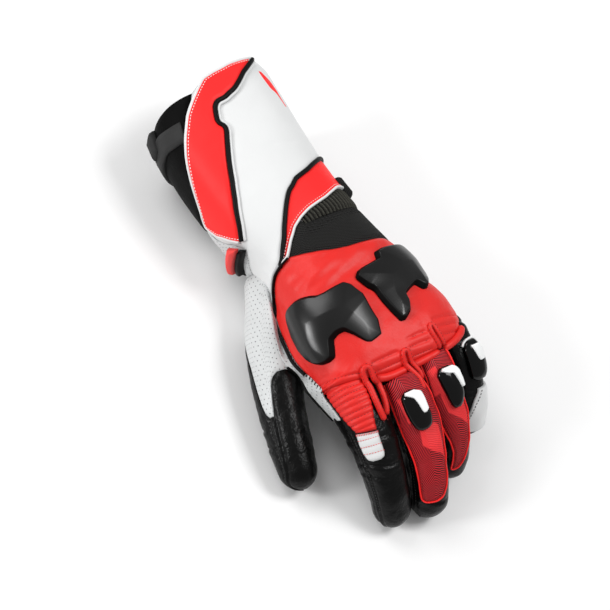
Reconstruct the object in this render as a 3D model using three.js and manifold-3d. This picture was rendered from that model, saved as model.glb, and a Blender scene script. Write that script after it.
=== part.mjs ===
// Leather motorcycle gauntlet glove for the left hand, lying palm down.
// Millimetres, +Z up: -X thumb side, +X little-finger side, -Y fingertips, +Y cuff mouth.
// The origin is on the table, under the middle of the glove.
//
// The glove is six hollow lofts: the hand with its cuff, four fingers and the thumb.
// Every leather panel is a patch of one loft, given by the angle round it and the share
// of the way along it. Angle 0 is the back of the hand, 90 the little-finger side,
// 180 the palm and 270 (or -90) the thumb side.
import * as THREE from 'three';
import { mergeVertices } from 'three/addons/utils/BufferGeometryUtils.js';
import Module from 'manifold-3d';

const wasm = await Module();
wasm.setup();

// Driving dimensions.
const WALL = 2;             // leather with its lining
const GAP = 0.4;            // between the edges of neighbouring panels
const RIDE = 0.8;           // what is sewn on top lies this far off the leather below
const OVERLAY = 1.3;        // thickness of a sewn overlay
const FLAP = 1.8;           // thickness of the closure flap
const FACET = 11;           // length of a facet on the large panels
const FINE = 7.5;           // length of a facet on small pieces
const FINGER_SIDES = 14;    // facets round a finger
const THUMB_SIDES = 16;     // facets round the thumb
const FINGER_FACET = 13;    // length of a facet along a finger
const CUFF_LIFT = 2.8;      // the closure band holds the cuff this far above the table
const WEB_RISE = 10.5;      // the web by the thumb stands out this far from the hand's side
const WEB_ANGLE = 244;      // in this direction
const WEB_ALONG = 0.88;     // most at this place
const SLEEVE_IN = 0.08;     // how far along a finger its wall starts, inside the hand
const PIPING = 2.4;         // width of the flap's piping
const GUARD_LOW = 2 * RIDE + OVERLAY;     // a slider lies on an overlay

const RED = '#e8403a';
const BRIGHT_RED = '#ff3f40';
const WHITE = '#e6e7e6';
const BLACK = '#1d1d1c';
const SHELL_BLACK = '#2b2b2b';
const DARK_RED = '#7d1f28';
const RUBBER = '#353535';

// A short table: one row for each section, with its columns by name.
function table(names, rows) {
  const keys = names.split(' ');
  return rows.map((row) => Object.fromEntries(keys.map((key, i) => [key, row[i] ?? 0])));
}

// Sections of the lofts. x, y, z is the middle; half_width, up and down are the half axes
// of a superellipse of exponent round; lean slopes the section along the path.
const SECTION = 'x y z half_width up down round lean';
const FORMS = {
  hand: { lift: CUFF_LIFT, web: WEB_RISE, sections: table(SECTION, [
    [-17.5, 134, 39, 44.5, 33, 37, 2.4, 0.35],
    [-16, 95, 39, 45, 32, 37, 2.4, 0.2],
    [-12, 55, 39, 43, 31, 36, 2.4, 0.1],
    [-3.5, 20, 39, 40, 30, 34, 2.4, 0],
    [1, -12, 41, 44.5, 29, 32, 2.5, 0],
    [2, -42, 44, 48, 27, 26, 2.6, 0],
    [7, -65, 46, 51, 24, 21, 2.6, 0],
    [8, -80, 44, 49.5, 19, 16, 2.6, 0],
  ]) },
  index: { tip: 14, sections: table(SECTION, [
    [-30.5, -62, 46, 16, 14, 14, 3.4],
    [-30.5, -90, 44, 15.5, 15, 14.5, 2.7],
    [-29.5, -117, 36, 13.5, 13.5, 13, 2.4],
    [-28, -139, 22, 12.5, 12.5, 12, 2.2],
    [-26, -156, 3.5, 11, 11, 10, 2.1],
  ]) },
  middle: { tip: 14, sections: table(SECTION, [
    [-1, -64, 47, 12.6, 14, 14, 3.4],
    [-0.5, -96, 46, 13, 15, 14.5, 2.7],
    [-0.3, -122, 37, 12.6, 13.5, 13, 2.4],
    [-1.5, -144, 22, 12.2, 12.5, 12, 2.2],
    [-3, -160, 3.5, 11, 11, 10, 2.1],
  ]) },
  ring: { tip: 13, sections: table(SECTION, [
    [24.6, -62, 47, 12.2, 14, 14, 3.4],
    [25, -92, 45, 12.2, 14.5, 14, 2.7],
    [25, -114, 35, 12, 13, 13, 2.4],
    [23.8, -131, 20, 11.8, 12, 11.5, 2.2],
    [21, -142, 3.5, 10.5, 10.5, 10, 2.1],
  ]) },
  little: { tip: 12, sections: table(SECTION, [
    [48.6, -56, 43, 11, 12.5, 13, 3.0],
    [49.7, -80, 41, 11.5, 13.5, 13, 2.7],
    [50, -98, 31, 11.5, 12.5, 12, 2.4],
    [49, -112, 18, 11, 11.5, 11, 2.2],
    [47, -122, 4, 9.5, 10, 9.5, 2.1],
  ]) },
  thumb: { tip: 15, roll: 50, sections: table(SECTION, [
    [-32, 2, 24, 19, 18, 20, 2.3],
    [-51, -32, 22, 17, 16, 17, 2.3],
    [-62, -62, 19, 14.5, 14, 14, 2.3],
    [-68.5, -91, 15.5, 13, 12.5, 12.5, 2.2],
    [-72, -116, 10.5, 11, 10.5, 10.5, 2.1],
  ]) },
};

// The section at a share of the way along, on a smooth curve through the table's rows.
function sectionAt(form, share) {
  const rows = form.sections;
  const place = share * (rows.length - 1);
  const i = Math.min(Math.max(Math.floor(place), 0), rows.length - 2);
  const f = place - i;
  const result = {};
  for (const key of Object.keys(rows[0])) {
    const b = rows[i][key];
    const c = rows[i + 1][key];
    const a = i > 0 ? rows[i - 1][key] : 2 * b - c;
    const d = i + 2 < rows.length ? rows[i + 2][key] : 2 * c - b;
    result[key] = 0.5 * (2 * b + (c - a) * f + (2 * a - 5 * b + 4 * c - d) * f ** 2
      + (3 * b - a - 3 * c + d) * f ** 3);
  }
  return result;
}

function middleAt(form, share) {
  const { x, y, z } = sectionAt(form, share);
  return new THREE.Vector3(x, y, z);
}

for (const form of Object.values(FORMS)) {
  let length = 0;
  for (let i = 0; i < 50; i++) {
    length += middleAt(form, i / 50).distanceTo(middleAt(form, (i + 1) / 50));
  }
  form.length = length;
}

// The share of its rise that the web has at a place.
function webShare(angle, along) {
  const turned = THREE.MathUtils.euclideanModulo(angle - WEB_ANGLE + 180, 360) - 180;
  return Math.exp(-((turned / 30) ** 2) - ((along - WEB_ALONG) / 0.17) ** 2);
}

// A point of a loft's skin, raised or sunk by height. Along runs from 0 to 1 over the barrel,
// and on a finger from 1 to 2 over its rounded tip. Leather is flattened where it rests.
function skin(form, angle, along, offset) {
  const tip = form.tip ?? 0;
  const height = offset + (form.web ?? 0) * webShare(angle, along);
  const barrel = 1 - tip / form.length;
  let share = along * barrel;
  let shrink = 1;
  if (along > 1) {
    const turn = (along - 1) * Math.PI / 2;
    share = barrel + (1 + height / form.length - barrel) * Math.sin(turn);
    shrink = Math.cos(turn);
  }
  const at = sectionAt(form, share);
  const path = middleAt(form, share + 1e-3).sub(middleAt(form, share - 1e-3)).normalize();
  const side = new THREE.Vector3(0, 0, 1).cross(path).normalize();
  const back = path.clone().cross(side);
  side.applyAxisAngle(path, THREE.MathUtils.degToRad(form.roll ?? 0));
  back.applyAxisAngle(path, THREE.MathUtils.degToRad(form.roll ?? 0));
  back.addScaledVector(path, -at.lean);
  const turn = THREE.MathUtils.degToRad(angle);
  const s = Math.sin(turn);
  const c = Math.cos(turn);
  const across = (at.half_width + height) * shrink * Math.sign(s) * Math.abs(s) ** (2 / at.round);
  const depth = c > 0 ? at.up : at.down;
  const rise = (depth + height) * shrink * Math.sign(c) * Math.abs(c) ** (2 / at.round);
  const point = new THREE.Vector3(at.x, at.y, at.z);
  point.addScaledVector(side, across).addScaledVector(back, rise);
  point.z = Math.max(point.z, (form.lift ?? 0) - offset);
  return point;
}

// A closed wall between an outer and an inner grid of points. With around, each row closes
// on itself, and a last row drawn to a point closes the end.
function wall(outer, inner, around = false) {
  const rows = outer.length;
  const columns = outer[0].length;
  const points = [...outer.flat(), ...inner.flat()];
  const under = rows * columns;
  const faces = [];
  const quad = (a, b, c, d) => faces.push([a, b, c], [a, c, d]);
  const last = around ? columns : columns - 1;
  for (let i = 0; i < rows - 1; i++) {
    for (let j = 0; j < last; j++) {
      const k = (j + 1) % columns;
      const a = i * columns + j;
      const b = i * columns + k;
      const c = b + columns;
      const d = a + columns;
      quad(a, b, c, d);
      quad(under + d, under + c, under + b, under + a);
    }
    if (!around) {
      const a = i * columns;
      const b = a + columns;
      quad(a, b, under + b, under + a);
      quad(b + columns - 1, a + columns - 1, under + a + columns - 1, under + b + columns - 1);
    }
  }
  for (let j = 0; j < last; j++) {
    const k = (j + 1) % columns;
    const end = (rows - 1) * columns;
    quad(k, j, under + j, under + k);
    quad(end + j, end + k, under + end + k, under + end + j);
  }
  return solid(points, faces);
}

// Points and triangles as one closed geometry with its faces pointing out.
function solid(points, faces) {
  const numbers = points.flatMap((p) => [p.x, p.y, p.z]);
  const loose = new THREE.BufferGeometry();
  loose.setAttribute('position', new THREE.Float32BufferAttribute(numbers, 3));
  loose.setIndex(faces.flat());
  const merged = mergeVertices(loose, 1e-3);
  const index = merged.index.array;
  const position = merged.attributes.position;
  const kept = [];
  let volume = 0;
  const corner = (i) => new THREE.Vector3().fromBufferAttribute(position, i);
  for (let i = 0; i < index.length; i += 3) {
    const [a, b, c] = [index[i], index[i + 1], index[i + 2]];
    if (a === b || b === c || c === a) continue;
    kept.push([a, b, c]);
    volume += corner(a).dot(corner(b).cross(corner(c)));
  }
  merged.setIndex(kept.flatMap(([a, b, c]) => (volume > 0 ? [a, b, c] : [a, c, b])));
  return merged;
}

// Rows of a panel's net. Each row runs from its left edge to its right edge, and bow moves
// its middle along the loft.
const slanted = (rows) => table('left_angle left_along right_angle right_along bow', rows);
const level = (rows) => slanted(rows.map(([along, left, right]) => [left, along, right, along]));
const lengthwise = (rows) => slanted(rows.map(([angle, start, end]) => [angle, start, angle, end]));

// How far the skin runs for one degree round the loft and for one whole length along it.
function slopes(form, angle, along) {
  const round = skin(form, angle + 0.5, along, 0).sub(skin(form, angle - 0.5, along, 0));
  const down = skin(form, angle, along + 0.002, 0).sub(skin(form, angle, along - 0.002, 0));
  return { round, down: down.divideScalar(0.004) };
}

// A patch of a loft from low to high, cut back at its edges by half the gap. Dome raises
// its middle.
function panel(form, net, { low = -WALL, high = 0, facet = FACET, dome = 0 } = {}) {
  const place = (row, v) => {
    const angle = THREE.MathUtils.lerp(row.left_angle, row.right_angle, v);
    const along = THREE.MathUtils.lerp(row.left_along, row.right_along, v);
    return [angle, along + row.bow * 4 * v * (1 - v)];
  };
  const distance = (p, q) => skin(form, ...p, high).distanceTo(skin(form, ...q, high));
  const widest = Math.max(...net.map((row) => distance(place(row, 0), place(row, 0.5))
    + distance(place(row, 0.5), place(row, 1))));
  const columns = Math.max(2, Math.round(widest / facet));
  const grid = [];
  for (let i = 0; i < net.length - 1; i++) {
    const lengths = [0, 0.5, 1].map((v) => distance(place(net[i], v), place(net[i + 1], v)));
    const longest = Math.max(...lengths);
    const steps = Math.max(1, Math.round(longest / facet));
    for (let k = 0; k < steps + (i === net.length - 2 ? 1 : 0); k++) {
      const row = {};
      for (const key of Object.keys(net[i])) {
        row[key] = THREE.MathUtils.lerp(net[i][key], net[i + 1][key], k / steps);
      }
      grid.push(Array.from({ length: columns + 1 }, (_, j) => place(row, j / columns)));
    }
  }
  const cut = cutBack(form, grid, GAP / 2);
  const bulge = (i, j) => dome * Math.sqrt(Math.sin(Math.PI * i / (grid.length - 1))
    * Math.sin(Math.PI * j / columns) + 1e-9);
  const outer = cut.map((row, i) => row.map((p, j) => skin(form, ...p, high + bulge(i, j))));
  const inner = cut.map((row) => row.map((p) => skin(form, ...p, low)));
  return wall(outer, inner);
}

// The grid with its border moved inwards over the skin by a distance.
function cutBack(form, grid, distance) {
  const last = grid.length - 1;
  const side = grid[0].length - 1;
  const border = [];
  for (let j = 0; j < side; j++) border.push([0, j]);
  for (let i = 0; i < last; i++) border.push([i, side]);
  for (let j = side; j > 0; j--) border.push([last, j]);
  for (let i = last; i > 0; i--) border.push([i, 0]);
  const at = ([i, j]) => skin(form, ...grid[i][j], 0);
  const result = grid.map((row) => row.map((p) => [...p]));
  border.forEach((here, n) => {
    const before = at(border[(n + border.length - 1) % border.length]);
    const after = at(border[(n + 1) % border.length]);
    const point = at(here);
    const [angle, along] = grid[here[0]][here[1]];
    const { round, down } = slopes(form, angle, along);
    const normal = round.clone().cross(down).normalize();
    const first = point.clone().sub(before).cross(normal).normalize();
    const second = after.clone().sub(point).cross(normal).normalize();
    const inward = first.add(second).normalize();
    const cosine = Math.max(0.5, Math.abs(inward.dot(second)));
    const row = THREE.MathUtils.clamp(here[0], 1, last - 1);
    const column = THREE.MathUtils.clamp(here[1], 1, side - 1);
    const toward = at([row, column]).sub(point);
    if (toward.length() > 1e-6 && inward.dot(toward) < 0) inward.negate();
    inward.multiplyScalar(distance / cosine);
    // The shift in angle and along that best gives this shift over the skin.
    const rr = round.dot(round);
    const dd = down.dot(down);
    const rd = round.dot(down);
    const det = rr * dd - rd * rd;
    const p = inward.dot(round);
    const q = inward.dot(down);
    result[here[0]][here[1]][0] += (p * dd - q * rd) / det;
    result[here[0]][here[1]][1] += (q * rr - p * rd) / det;
  });
  return result;
}

// A trim strip of a width along a line on the loft, such as piping or binding. Aside moves
// it to one side of the line.
function strip(form, line, width, options = {}) {
  const { low = RIDE, high = RIDE + OVERLAY, facet = FACET, aside = 0 } = options;
  const points = [];
  for (let i = 0; i < line.length - 1; i++) {
    const distance = skin(form, ...line[i], 0).distanceTo(skin(form, ...line[i + 1], 0));
    const steps = Math.max(1, Math.round(distance / facet));
    for (let k = 0; k < steps + (i === line.length - 2 ? 1 : 0); k++) {
      points.push([0, 1].map((n) => THREE.MathUtils.lerp(line[i][n], line[i + 1][n], k / steps)));
    }
  }
  const edge = (i, sign) => {
    const [angle, along] = points[i];
    const ahead = skin(form, ...points[Math.min(i + 1, points.length - 1)], 0);
    const path = ahead.sub(skin(form, ...points[Math.max(i - 1, 0)], 0));
    const { round, down } = slopes(form, angle, along);
    const across = round.clone().cross(down).cross(path).normalize()
      .multiplyScalar(aside + sign * width / 2);
    const turned = across.dot(round) / round.dot(round);
    const moved = across.dot(down) / down.dot(down);
    return [angle + turned, along + moved];
  };
  const grid = points.map((_, i) => [edge(i, -1), edge(i, 1)]);
  const outer = grid.map((row) => row.map((p) => skin(form, ...p, high)));
  const inner = grid.map((row) => row.map((p) => skin(form, ...p, low)));
  return wall(outer, inner);
}

// A hollow finger, open at its base and closed at its rounded tip. Start gives the place of
// its open end at each angle.
function sleeve(form, start, options = {}) {
  const { end = null, low = -WALL, high = 0, sides = FINGER_SIDES, facet = FINGER_FACET } = options;
  const angles = Array.from({ length: sides }, (_, j) => 360 * j / sides);
  const barrel = Math.round(form.length / facet);
  const levels = Array.from({ length: barrel + 1 }, (_, i) => i / barrel);
  const caps = end ? [] : [1.35, 1.7, 2];
  const row = (level, height) => angles.map((angle) => {
    const first = start(angle);
    const last = end ? end(angle) : 1;
    return skin(form, angle, first + (last - first) * level, height);
  });
  const cap = (level, height) => angles.map((angle) => skin(form, angle, level, height));
  const grid = (height) => [
    ...levels.map((level) => row(level, height)),
    ...caps.map((level) => cap(level, height)),
  ];
  return wall(grid(high), grid(low), true);
}

// A solid plug that fills a loft between two places, for cutting its neighbours.
function plug(form, first, last, height, sides = 48) {
  const rows = Array.from({ length: 25 }, (_, i) => first + (last - first) * i / 24);
  const ring = (along) => Array.from({ length: sides }, (_, j) => (
    skin(form, 360 * j / sides, along, height)));
  const grid = rows.map(ring);
  const points = grid.flat();
  const faces = [];
  for (let i = 0; i < rows.length - 1; i++) {
    for (let j = 0; j < sides; j++) {
      const k = (j + 1) % sides;
      const a = i * sides + j;
      const b = i * sides + k;
      faces.push([a, b, b + sides], [a, b + sides, a + sides]);
    }
  }
  for (const [i, flip] of [[0, true], [rows.length - 1, false]]) {
    const middle = points.length;
    points.push(grid[i].reduce((sum, p) => sum.add(p), new THREE.Vector3()).divideScalar(sides));
    for (let j = 0; j < sides; j++) {
      const a = i * sides + j;
      const b = i * sides + (j + 1) % sides;
      faces.push(flip ? [middle, b, a] : [middle, a, b]);
    }
  }
  return solid(points, faces);
}

function toManifold(geometry) {
  return new wasm.Manifold(new wasm.Mesh({
    numProp: 3,
    vertProperties: Float32Array.from(geometry.attributes.position.array),
    triVerts: Uint32Array.from(geometry.index.array),
  }));
}

function cutBy(geometry, ...cutters) {
  let body = toManifold(geometry);
  for (const cutter of cutters) body = body.subtract(toManifold(cutter));
  const mesh = body.getMesh();
  const result = new THREE.BufferGeometry();
  result.setAttribute('position', new THREE.Float32BufferAttribute(mesh.vertProperties, 3));
  result.setIndex([...mesh.triVerts]);
  return result;
}

const glove = new THREE.Group();

function add(name, geometry, color, roughness) {
  geometry.computeVertexNormals();
  const material = new THREE.MeshStandardMaterial({ color, roughness, metalness: 0 });
  const mesh = new THREE.Mesh(geometry, material);
  mesh.name = name;
  glove.add(mesh);
}

const { hand, index, middle, ring, little, thumb } = FORMS;
const LITTLE_SEAM = 98;     // angle of the long seam on the little-finger side

// Where the hand's walls stop at the finger bases, by angle.
const handEnd = { thumb: 0.90, index: 0.95, middle: 1.0, ring: 0.955, little: 0.88 };

// The thumb passes through the palm: its hollow is cut out of the panels there.
const thumbHollow = plug(thumb, -0.15, 0.6, -WALL);
const handBody = plug(hand, 0.25, 1, GAP);

// White leather over the back of the cuff, with a tongue down the thumb side of the back.
add('cuff_upper_panel', cutBy(panel(hand, slanted([
  [-25, 0.05, LITTLE_SEAM, 0.06, -0.045],
  [-40, 0.10, LITTLE_SEAM, 0.10, -0.02],
  [-50, 0.14, LITTLE_SEAM, 0.16],
  [-65, 0.185, LITTLE_SEAM, 0.22],
  [-88, 0.225, LITTLE_SEAM, 0.27],
  [-112, 0.25, 56, 0.281],
  [-102, 0.29, 22, 0.306],
  [-88, 0.325, 6, 0.312],
  [-80, 0.351, -3, 0.328],
  [-92, 0.376, -14, 0.353],
  [-105, 0.411, -28, 0.386],
  [-110, 0.469, -52, 0.456],
  [-110, 0.485, -58, 0.468],
  [-110, 0.505, -70, 0.476],
  [-109, 0.52, -79, 0.490],
  [-107, 0.55, -93, 0.517],
])), thumbHollow), WHITE, 0.5);

// Black leather round the underside of the cuff.
add('cuff_lower_panel', panel(hand, slanted([
  [LITTLE_SEAM, 0.06, 335, 0.05, -0.02],
  [LITTLE_SEAM, 0.10, 320, 0.10],
  [LITTLE_SEAM, 0.16, 310, 0.14],
  [LITTLE_SEAM, 0.20, 295, 0.185],
  [LITTLE_SEAM, 0.24, 272, 0.225],
  [LITTLE_SEAM, 0.27, 248, 0.25],
])), BLACK, 0.7);

// Red wedge across the back of the wrist, between the white leather and the ribs.
add('wrist_wedge', panel(hand, slanted([
  [LITTLE_SEAM, 0.27, LITTLE_SEAM, 0.395],
  [56, 0.281, 61, 0.384],
  [22, 0.306, 42, 0.379],
  [6, 0.312, 17, 0.387],
  [-3, 0.328, 0, 0.387],
  [-14, 0.353, -10, 0.393],
  [-28, 0.386, -20, 0.404],
  [-42, 0.425, -31, 0.429],
  [-52, 0.456, -45, 0.462],
]), { facet: FINE }), RED, 0.5);

// Ribbed stretch fabric across the wrist, and the knit below it.
add('wrist_ribs', panel(hand, slanted([
  [LITTLE_SEAM, 0.395, LITTLE_SEAM, 0.445],
  [61, 0.384, 61, 0.435],
  [42, 0.379, 36, 0.432],
  [17, 0.387, 10, 0.424],
  [0, 0.387, 0, 0.418],
  [-10, 0.393, -10, 0.412],
])), BLACK, 0.9);
add('wrist_knit', panel(hand, slanted([
  [LITTLE_SEAM, 0.445, LITTLE_SEAM, 0.58],
  [61, 0.435, 62, 0.56],
  [36, 0.432, 53, 0.549],
  [10, 0.424, 20, 0.540],
  [0, 0.418, 3, 0.532],
  [-10, 0.412, -18, 0.499],
  [-20, 0.404, -30, 0.482],
  [-31, 0.429, -38, 0.472],
  [-45, 0.462, -45, 0.464],
])), BLACK, 0.9);

// Red leather over the back of the hand.
add('back_panel', cutBy(panel(hand, slanted([
  [-109, 0.58, -92, 0.78],
  [-107, 0.55, -88, handEnd.thumb],
  [-93, 0.517, -84, 0.905],
  [-79, 0.490, -78, 0.915],
  [-70, 0.476, -70, 0.925],
  [-58, 0.468, -56, 0.94],
  [-45, 0.464, -44, handEnd.index],
  [-38, 0.472, -34, 0.965],
  [-30, 0.482, -25, 0.98],
  [-18, 0.499, -13, handEnd.middle],
  [3, 0.532, 8, handEnd.middle],
  [20, 0.540, 20, 0.985],
  [53, 0.549, 36, handEnd.ring],
  [62, 0.56, 55, 0.925],
  [80, 0.57, 76, 0.9],
  [LITTLE_SEAM, 0.58, LITTLE_SEAM, handEnd.little],
])), thumbHollow), RED, 0.5);

// White perforated leather round the palm, with the thumb's hole.
add('palm_panel', cutBy(panel(hand, slanted([
  [LITTLE_SEAM, 0.27, 248, 0.25],
  [LITTLE_SEAM, 0.30, 258, 0.29],
  [LITTLE_SEAM, 0.33, 272, 0.325],
  [LITTLE_SEAM, 0.36, 280, 0.351],
  [LITTLE_SEAM, 0.385, 268, 0.376],
  [LITTLE_SEAM, 0.42, 255, 0.411],
  [LITTLE_SEAM, 0.47, 250, 0.469],
  [LITTLE_SEAM, 0.51, 250, 0.505],
  [LITTLE_SEAM, 0.55, 253, 0.55],
  [LITTLE_SEAM, 0.60, 250, 0.58],
  [LITTLE_SEAM, 0.70, 258, 0.68],
  [LITTLE_SEAM, 0.79, 267, 0.78],
  [LITTLE_SEAM, handEnd.little, 271, handEnd.thumb, 0.05],
])), thumbHollow), WHITE, 0.6);

// A line round a loft, given at a few angles and joined up evenly between them.
function lineRound(rows) {
  const ends = table('angle along', [...rows, [rows[0][0] + 360, rows[0][1]]]);
  return (angle) => {
    const turned = ends[0].angle + THREE.MathUtils.euclideanModulo(angle - ends[0].angle, 360);
    const i = ends.findLastIndex((end) => end.angle <= turned);
    const [a, b] = [ends[i], ends[Math.min(i + 1, ends.length - 1)]];
    const share = b.angle > a.angle ? (turned - a.angle) / (b.angle - a.angle) : 0;
    return THREE.MathUtils.lerp(a.along, b.along, share);
  };
}

// Black leather fingers. Each wall starts inside the hand and comes out past its edge, so
// the hand's wall, grown by the gap, is cut out of it.
const handEdge = lineRound([
  [-88, 0.90], [-70, 0.925], [-44, 0.95], [-25, 0.98], [-13, 1], [8, 1], [20, 0.985],
  [36, 0.955], [55, 0.925], [76, 0.90], [98, 0.88], [140, 0.92], [175, 0.94], [215, 0.935],
]);
const collar = sleeve(hand, () => 0.7, {
  end: (angle) => handEdge(angle) + 0.01, low: -WALL - 3 * GAP, high: 5, sides: 36, facet: 16,
});
for (const name of ['index', 'middle', 'ring', 'little']) {
  add(`${name}_finger`, cutBy(sleeve(FORMS[name], () => SLEEVE_IN), collar), BLACK, 0.45);
}

// The same line moved along the loft until it is a distance away, steep stretches too.
function movedLine(form, line, distance) {
  const radius = 15;
  const barrel = form.length - form.tip;
  const steepness = (angle, turn) => Math.abs(line(angle + turn) - line(angle)) * barrel
    / (THREE.MathUtils.degToRad(10) * radius);
  return (angle) => {
    const steepest = Math.max(steepness(angle, -10), steepness(angle, 10));
    return line(angle) + distance * Math.hypot(1, steepest) / barrel;
  };
}

// Where the white gusset round the thumb's base meets the black leather: a tongue down the
// thumb side, an arch over its back.
const thumbSeam = lineRound([
  [0, 0.64], [15, 0.52], [32, 0.44], [55, 0.42], [80, 0.45], [100, 0.45], [130, 0.34],
  [180, 0.2], [240, 0.14], [300, 0.22], [320, 0.34], [340, 0.54],
]);
add('thumb_gusset', cutBy(sleeve(thumb, () => -0.07, {
  end: movedLine(thumb, thumbSeam, -GAP / 2), sides: THUMB_SIDES,
}), handBody), WHITE, 0.6);
add('thumb_shell', cutBy(sleeve(thumb, movedLine(thumb, thumbSeam, GAP / 2), {
  sides: THUMB_SIDES,
}), handBody), BLACK, 0.45);

// Red closure flap over the thumb side of the cuff, with its piping.
const flapNet = slanted([
  [8, 0.026, 33, 0.018],
  [-11, 0.038, 15, 0.046],
  [-22, 0.060, 2, 0.076],
  [-32, 0.080, -4, 0.091],
  [-42, 0.104, -15, 0.102],
  [-55, 0.136, -19, 0.140],
  [-72, 0.188, -26, 0.188],
  [-90, 0.244, -39, 0.250],
  [-96, 0.262, -47, 0.278],
  [-91, 0.294, -62, 0.315],
  [-84, 0.313, -71, 0.332],
]);
add('closure_flap', panel(hand, flapNet, {
  low: RIDE + 0.2, high: RIDE + FLAP, facet: 9,
}), BRIGHT_RED, 0.45);
const flapEdge = flapNet.slice(0, -1).map((row) => [row.right_angle, row.right_along]);
add('flap_piping', strip(hand, flapEdge, PIPING, {
  low: RIDE, high: RIDE + FLAP + 0.4, aside: -PIPING / 2 - GAP,
}), BLACK, 0.4);

// Black piping and white binding along the edges of the wedge.
add('wedge_piping', strip(hand, [
  [LITTLE_SEAM - 2, 0.27], [56, 0.281], [22, 0.306], [6, 0.312], [-3, 0.328], [-14, 0.353],
  [-28, 0.386], [-52, 0.456],
], PIPING + 0.2), BLACK, 0.4);
add('wedge_binding', strip(hand, [
  [LITTLE_SEAM - 2, 0.395], [61, 0.384], [42, 0.379], [17, 0.387], [0, 0.387], [-10, 0.393],
  [-20, 0.404], [-31, 0.429], [-45, 0.464], [-58, 0.468], [-70, 0.476], [-79, 0.490],
], 2.2), WHITE, 0.5);

// Hard shells over the knuckles: one with two lobes toward the index and middle fingers,
// one wrapped round the little-finger side.
const SHELL = { low: RIDE, high: RIDE + 1.6, facet: FINE };
add('knuckle_shell_large', panel(hand, lengthwise([
  [-88, 0.675, 0.71],
  [-85, 0.635, 0.735],
  [-78, 0.608, 0.752],
  [-66, 0.603, 0.766],
  [-55, 0.607, 0.775],
  [-45, 0.616, 0.745],
  [-40, 0.626, 0.741],
  [-32, 0.634, 0.743],
  [-27, 0.633, 0.757],
  [-20, 0.631, 0.828],
  [-12, 0.630, 0.828],
  [-8, 0.645, 0.827],
  [-4, 0.685, 0.77],
]), { ...SHELL, dome: 3.5 }), SHELL_BLACK, 0.25);
add('knuckle_shell_small', panel(hand, lengthwise([
  [1, 0.615, 0.822],
  [6, 0.609, 0.819],
  [11, 0.604, 0.808],
  [17, 0.580, 0.765],
  [26, 0.577, 0.748],
  [33, 0.577, 0.748],
  [38, 0.577, 0.785],
  [48, 0.578, 0.767],
  [58, 0.580, 0.725],
  [68, 0.592, 0.67],
  [76, 0.605, 0.64],
]), { ...SHELL, dome: 3 }), SHELL_BLACK, 0.25);

// What is sewn on top of the leather.
const SEWN = { low: RIDE, high: RIDE + OVERLAY, facet: FINE };

// Red stretch leather over the index finger, and the white cap below it.
add('index_stretch', panel(index, level([
  [0.19, -92, 2],
  [0.28, -84, 2],
  [0.35, -73, 0],
  [0.42, -60, -5],
]), SEWN), RED, 0.5);
add('index_cap', panel(index, level([
  [0.43, -60, -6],
  [0.50, -62, -8],
  [0.56, -60, -9],
  [0.60, -46, -24],
]), SEWN), WHITE, 0.5);

// Long overlays down the middle and ring fingers.
add('middle_overlay', panel(middle, level([
  [0.20, -60, 5],
  [0.27, -68, 27],
  [0.42, -72, 36],
  [0.50, -70, 35],
  [0.61, -57, 25],
  [0.79, -50, 19],
  [0.87, -49, 13],
  [0.92, -42, 2],
]), SEWN), DARK_RED, 0.55);
add('ring_overlay', panel(ring, level([
  [0.20, -40, 18],
  [0.26, -50, 22],
  [0.35, -55, 18],
  [0.54, -52, 27],
  [0.69, -33, 22],
  [0.78, -18, 14],
  [0.95, -17, -5],
]), SEWN), DARK_RED, 0.55);

// Hard sliders over the finger joints, each with a bright insert.
const sliders = [
  { name: 'middle', low: GUARD_LOW, guard: [
    [0.277, -22, -5],
    [0.30, -39, 2],
    [0.36, -42, 4],
    [0.42, -39, 6],
    [0.465, -32, 3],
    [0.487, -20, -4],
  ], insert: [
    [0.29, -22, -5],
    [0.33, -20, -3],
    [0.39, -14, -2],
  ] },
  { name: 'ring', low: GUARD_LOW, guard: [
    [0.262, -9, 3],
    [0.285, -24, 12],
    [0.35, -22, 18],
    [0.42, -16, 17],
    [0.47, -11, 8],
    [0.49, -4, 3],
  ], insert: [
    [0.275, -8, 8],
    [0.31, -2, 12],
    [0.36, 2, 12],
  ] },
  { name: 'little', low: RIDE, guard: [
    [0.272, 4, 30],
    [0.32, -4, 48],
    [0.38, -5, 57],
    [0.45, -5, 58],
    [0.50, -3, 52],
    [0.54, 8, 38],
  ], insert: [
    [0.29, 14, 34],
    [0.34, 16, 36],
    [0.39, 18, 34],
  ] },
];
for (const { name, low, guard, insert } of sliders) {
  const form = FORMS[name];
  const plate = panel(form, level(guard), { low, high: low + 2.2, facet: FINE, dome: 1 });
  const inlay = panel(form, level(insert), { low: low + 3.8, high: low + 4.6, facet: FINE });
  add(`${name}_guard`, plate, SHELL_BLACK, 0.2);
  add(`${name}_insert`, inlay, WHITE, 0.4);
}

// White leather on the outer side of the little fingertip.
add('little_side_panel', panel(little, level([
  [0.62, 10, 95],
  [0.75, -2, 110],
  [0.90, -14, 110],
  [1.10, -20, 100],
]), { ...SEWN, low: RIDE + 0.2 }), WHITE, 0.5);

// Raised red welts over the webs between the fingers.
const WELT = { low: RIDE, high: RIDE + 2.2, facet: FINE };
add('index_web_welt', strip(hand, [[-35, 0.885], [-36, 0.95]], 6, WELT), RED, 0.5);
add('middle_web_welt', strip(hand, [[-3, 0.885], [-1, 0.985]], 6, WELT), RED, 0.5);
add('ring_web_welt', strip(hand, [[15, 0.855], [18, 0.955]], 6, WELT), RED, 0.5);

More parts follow.
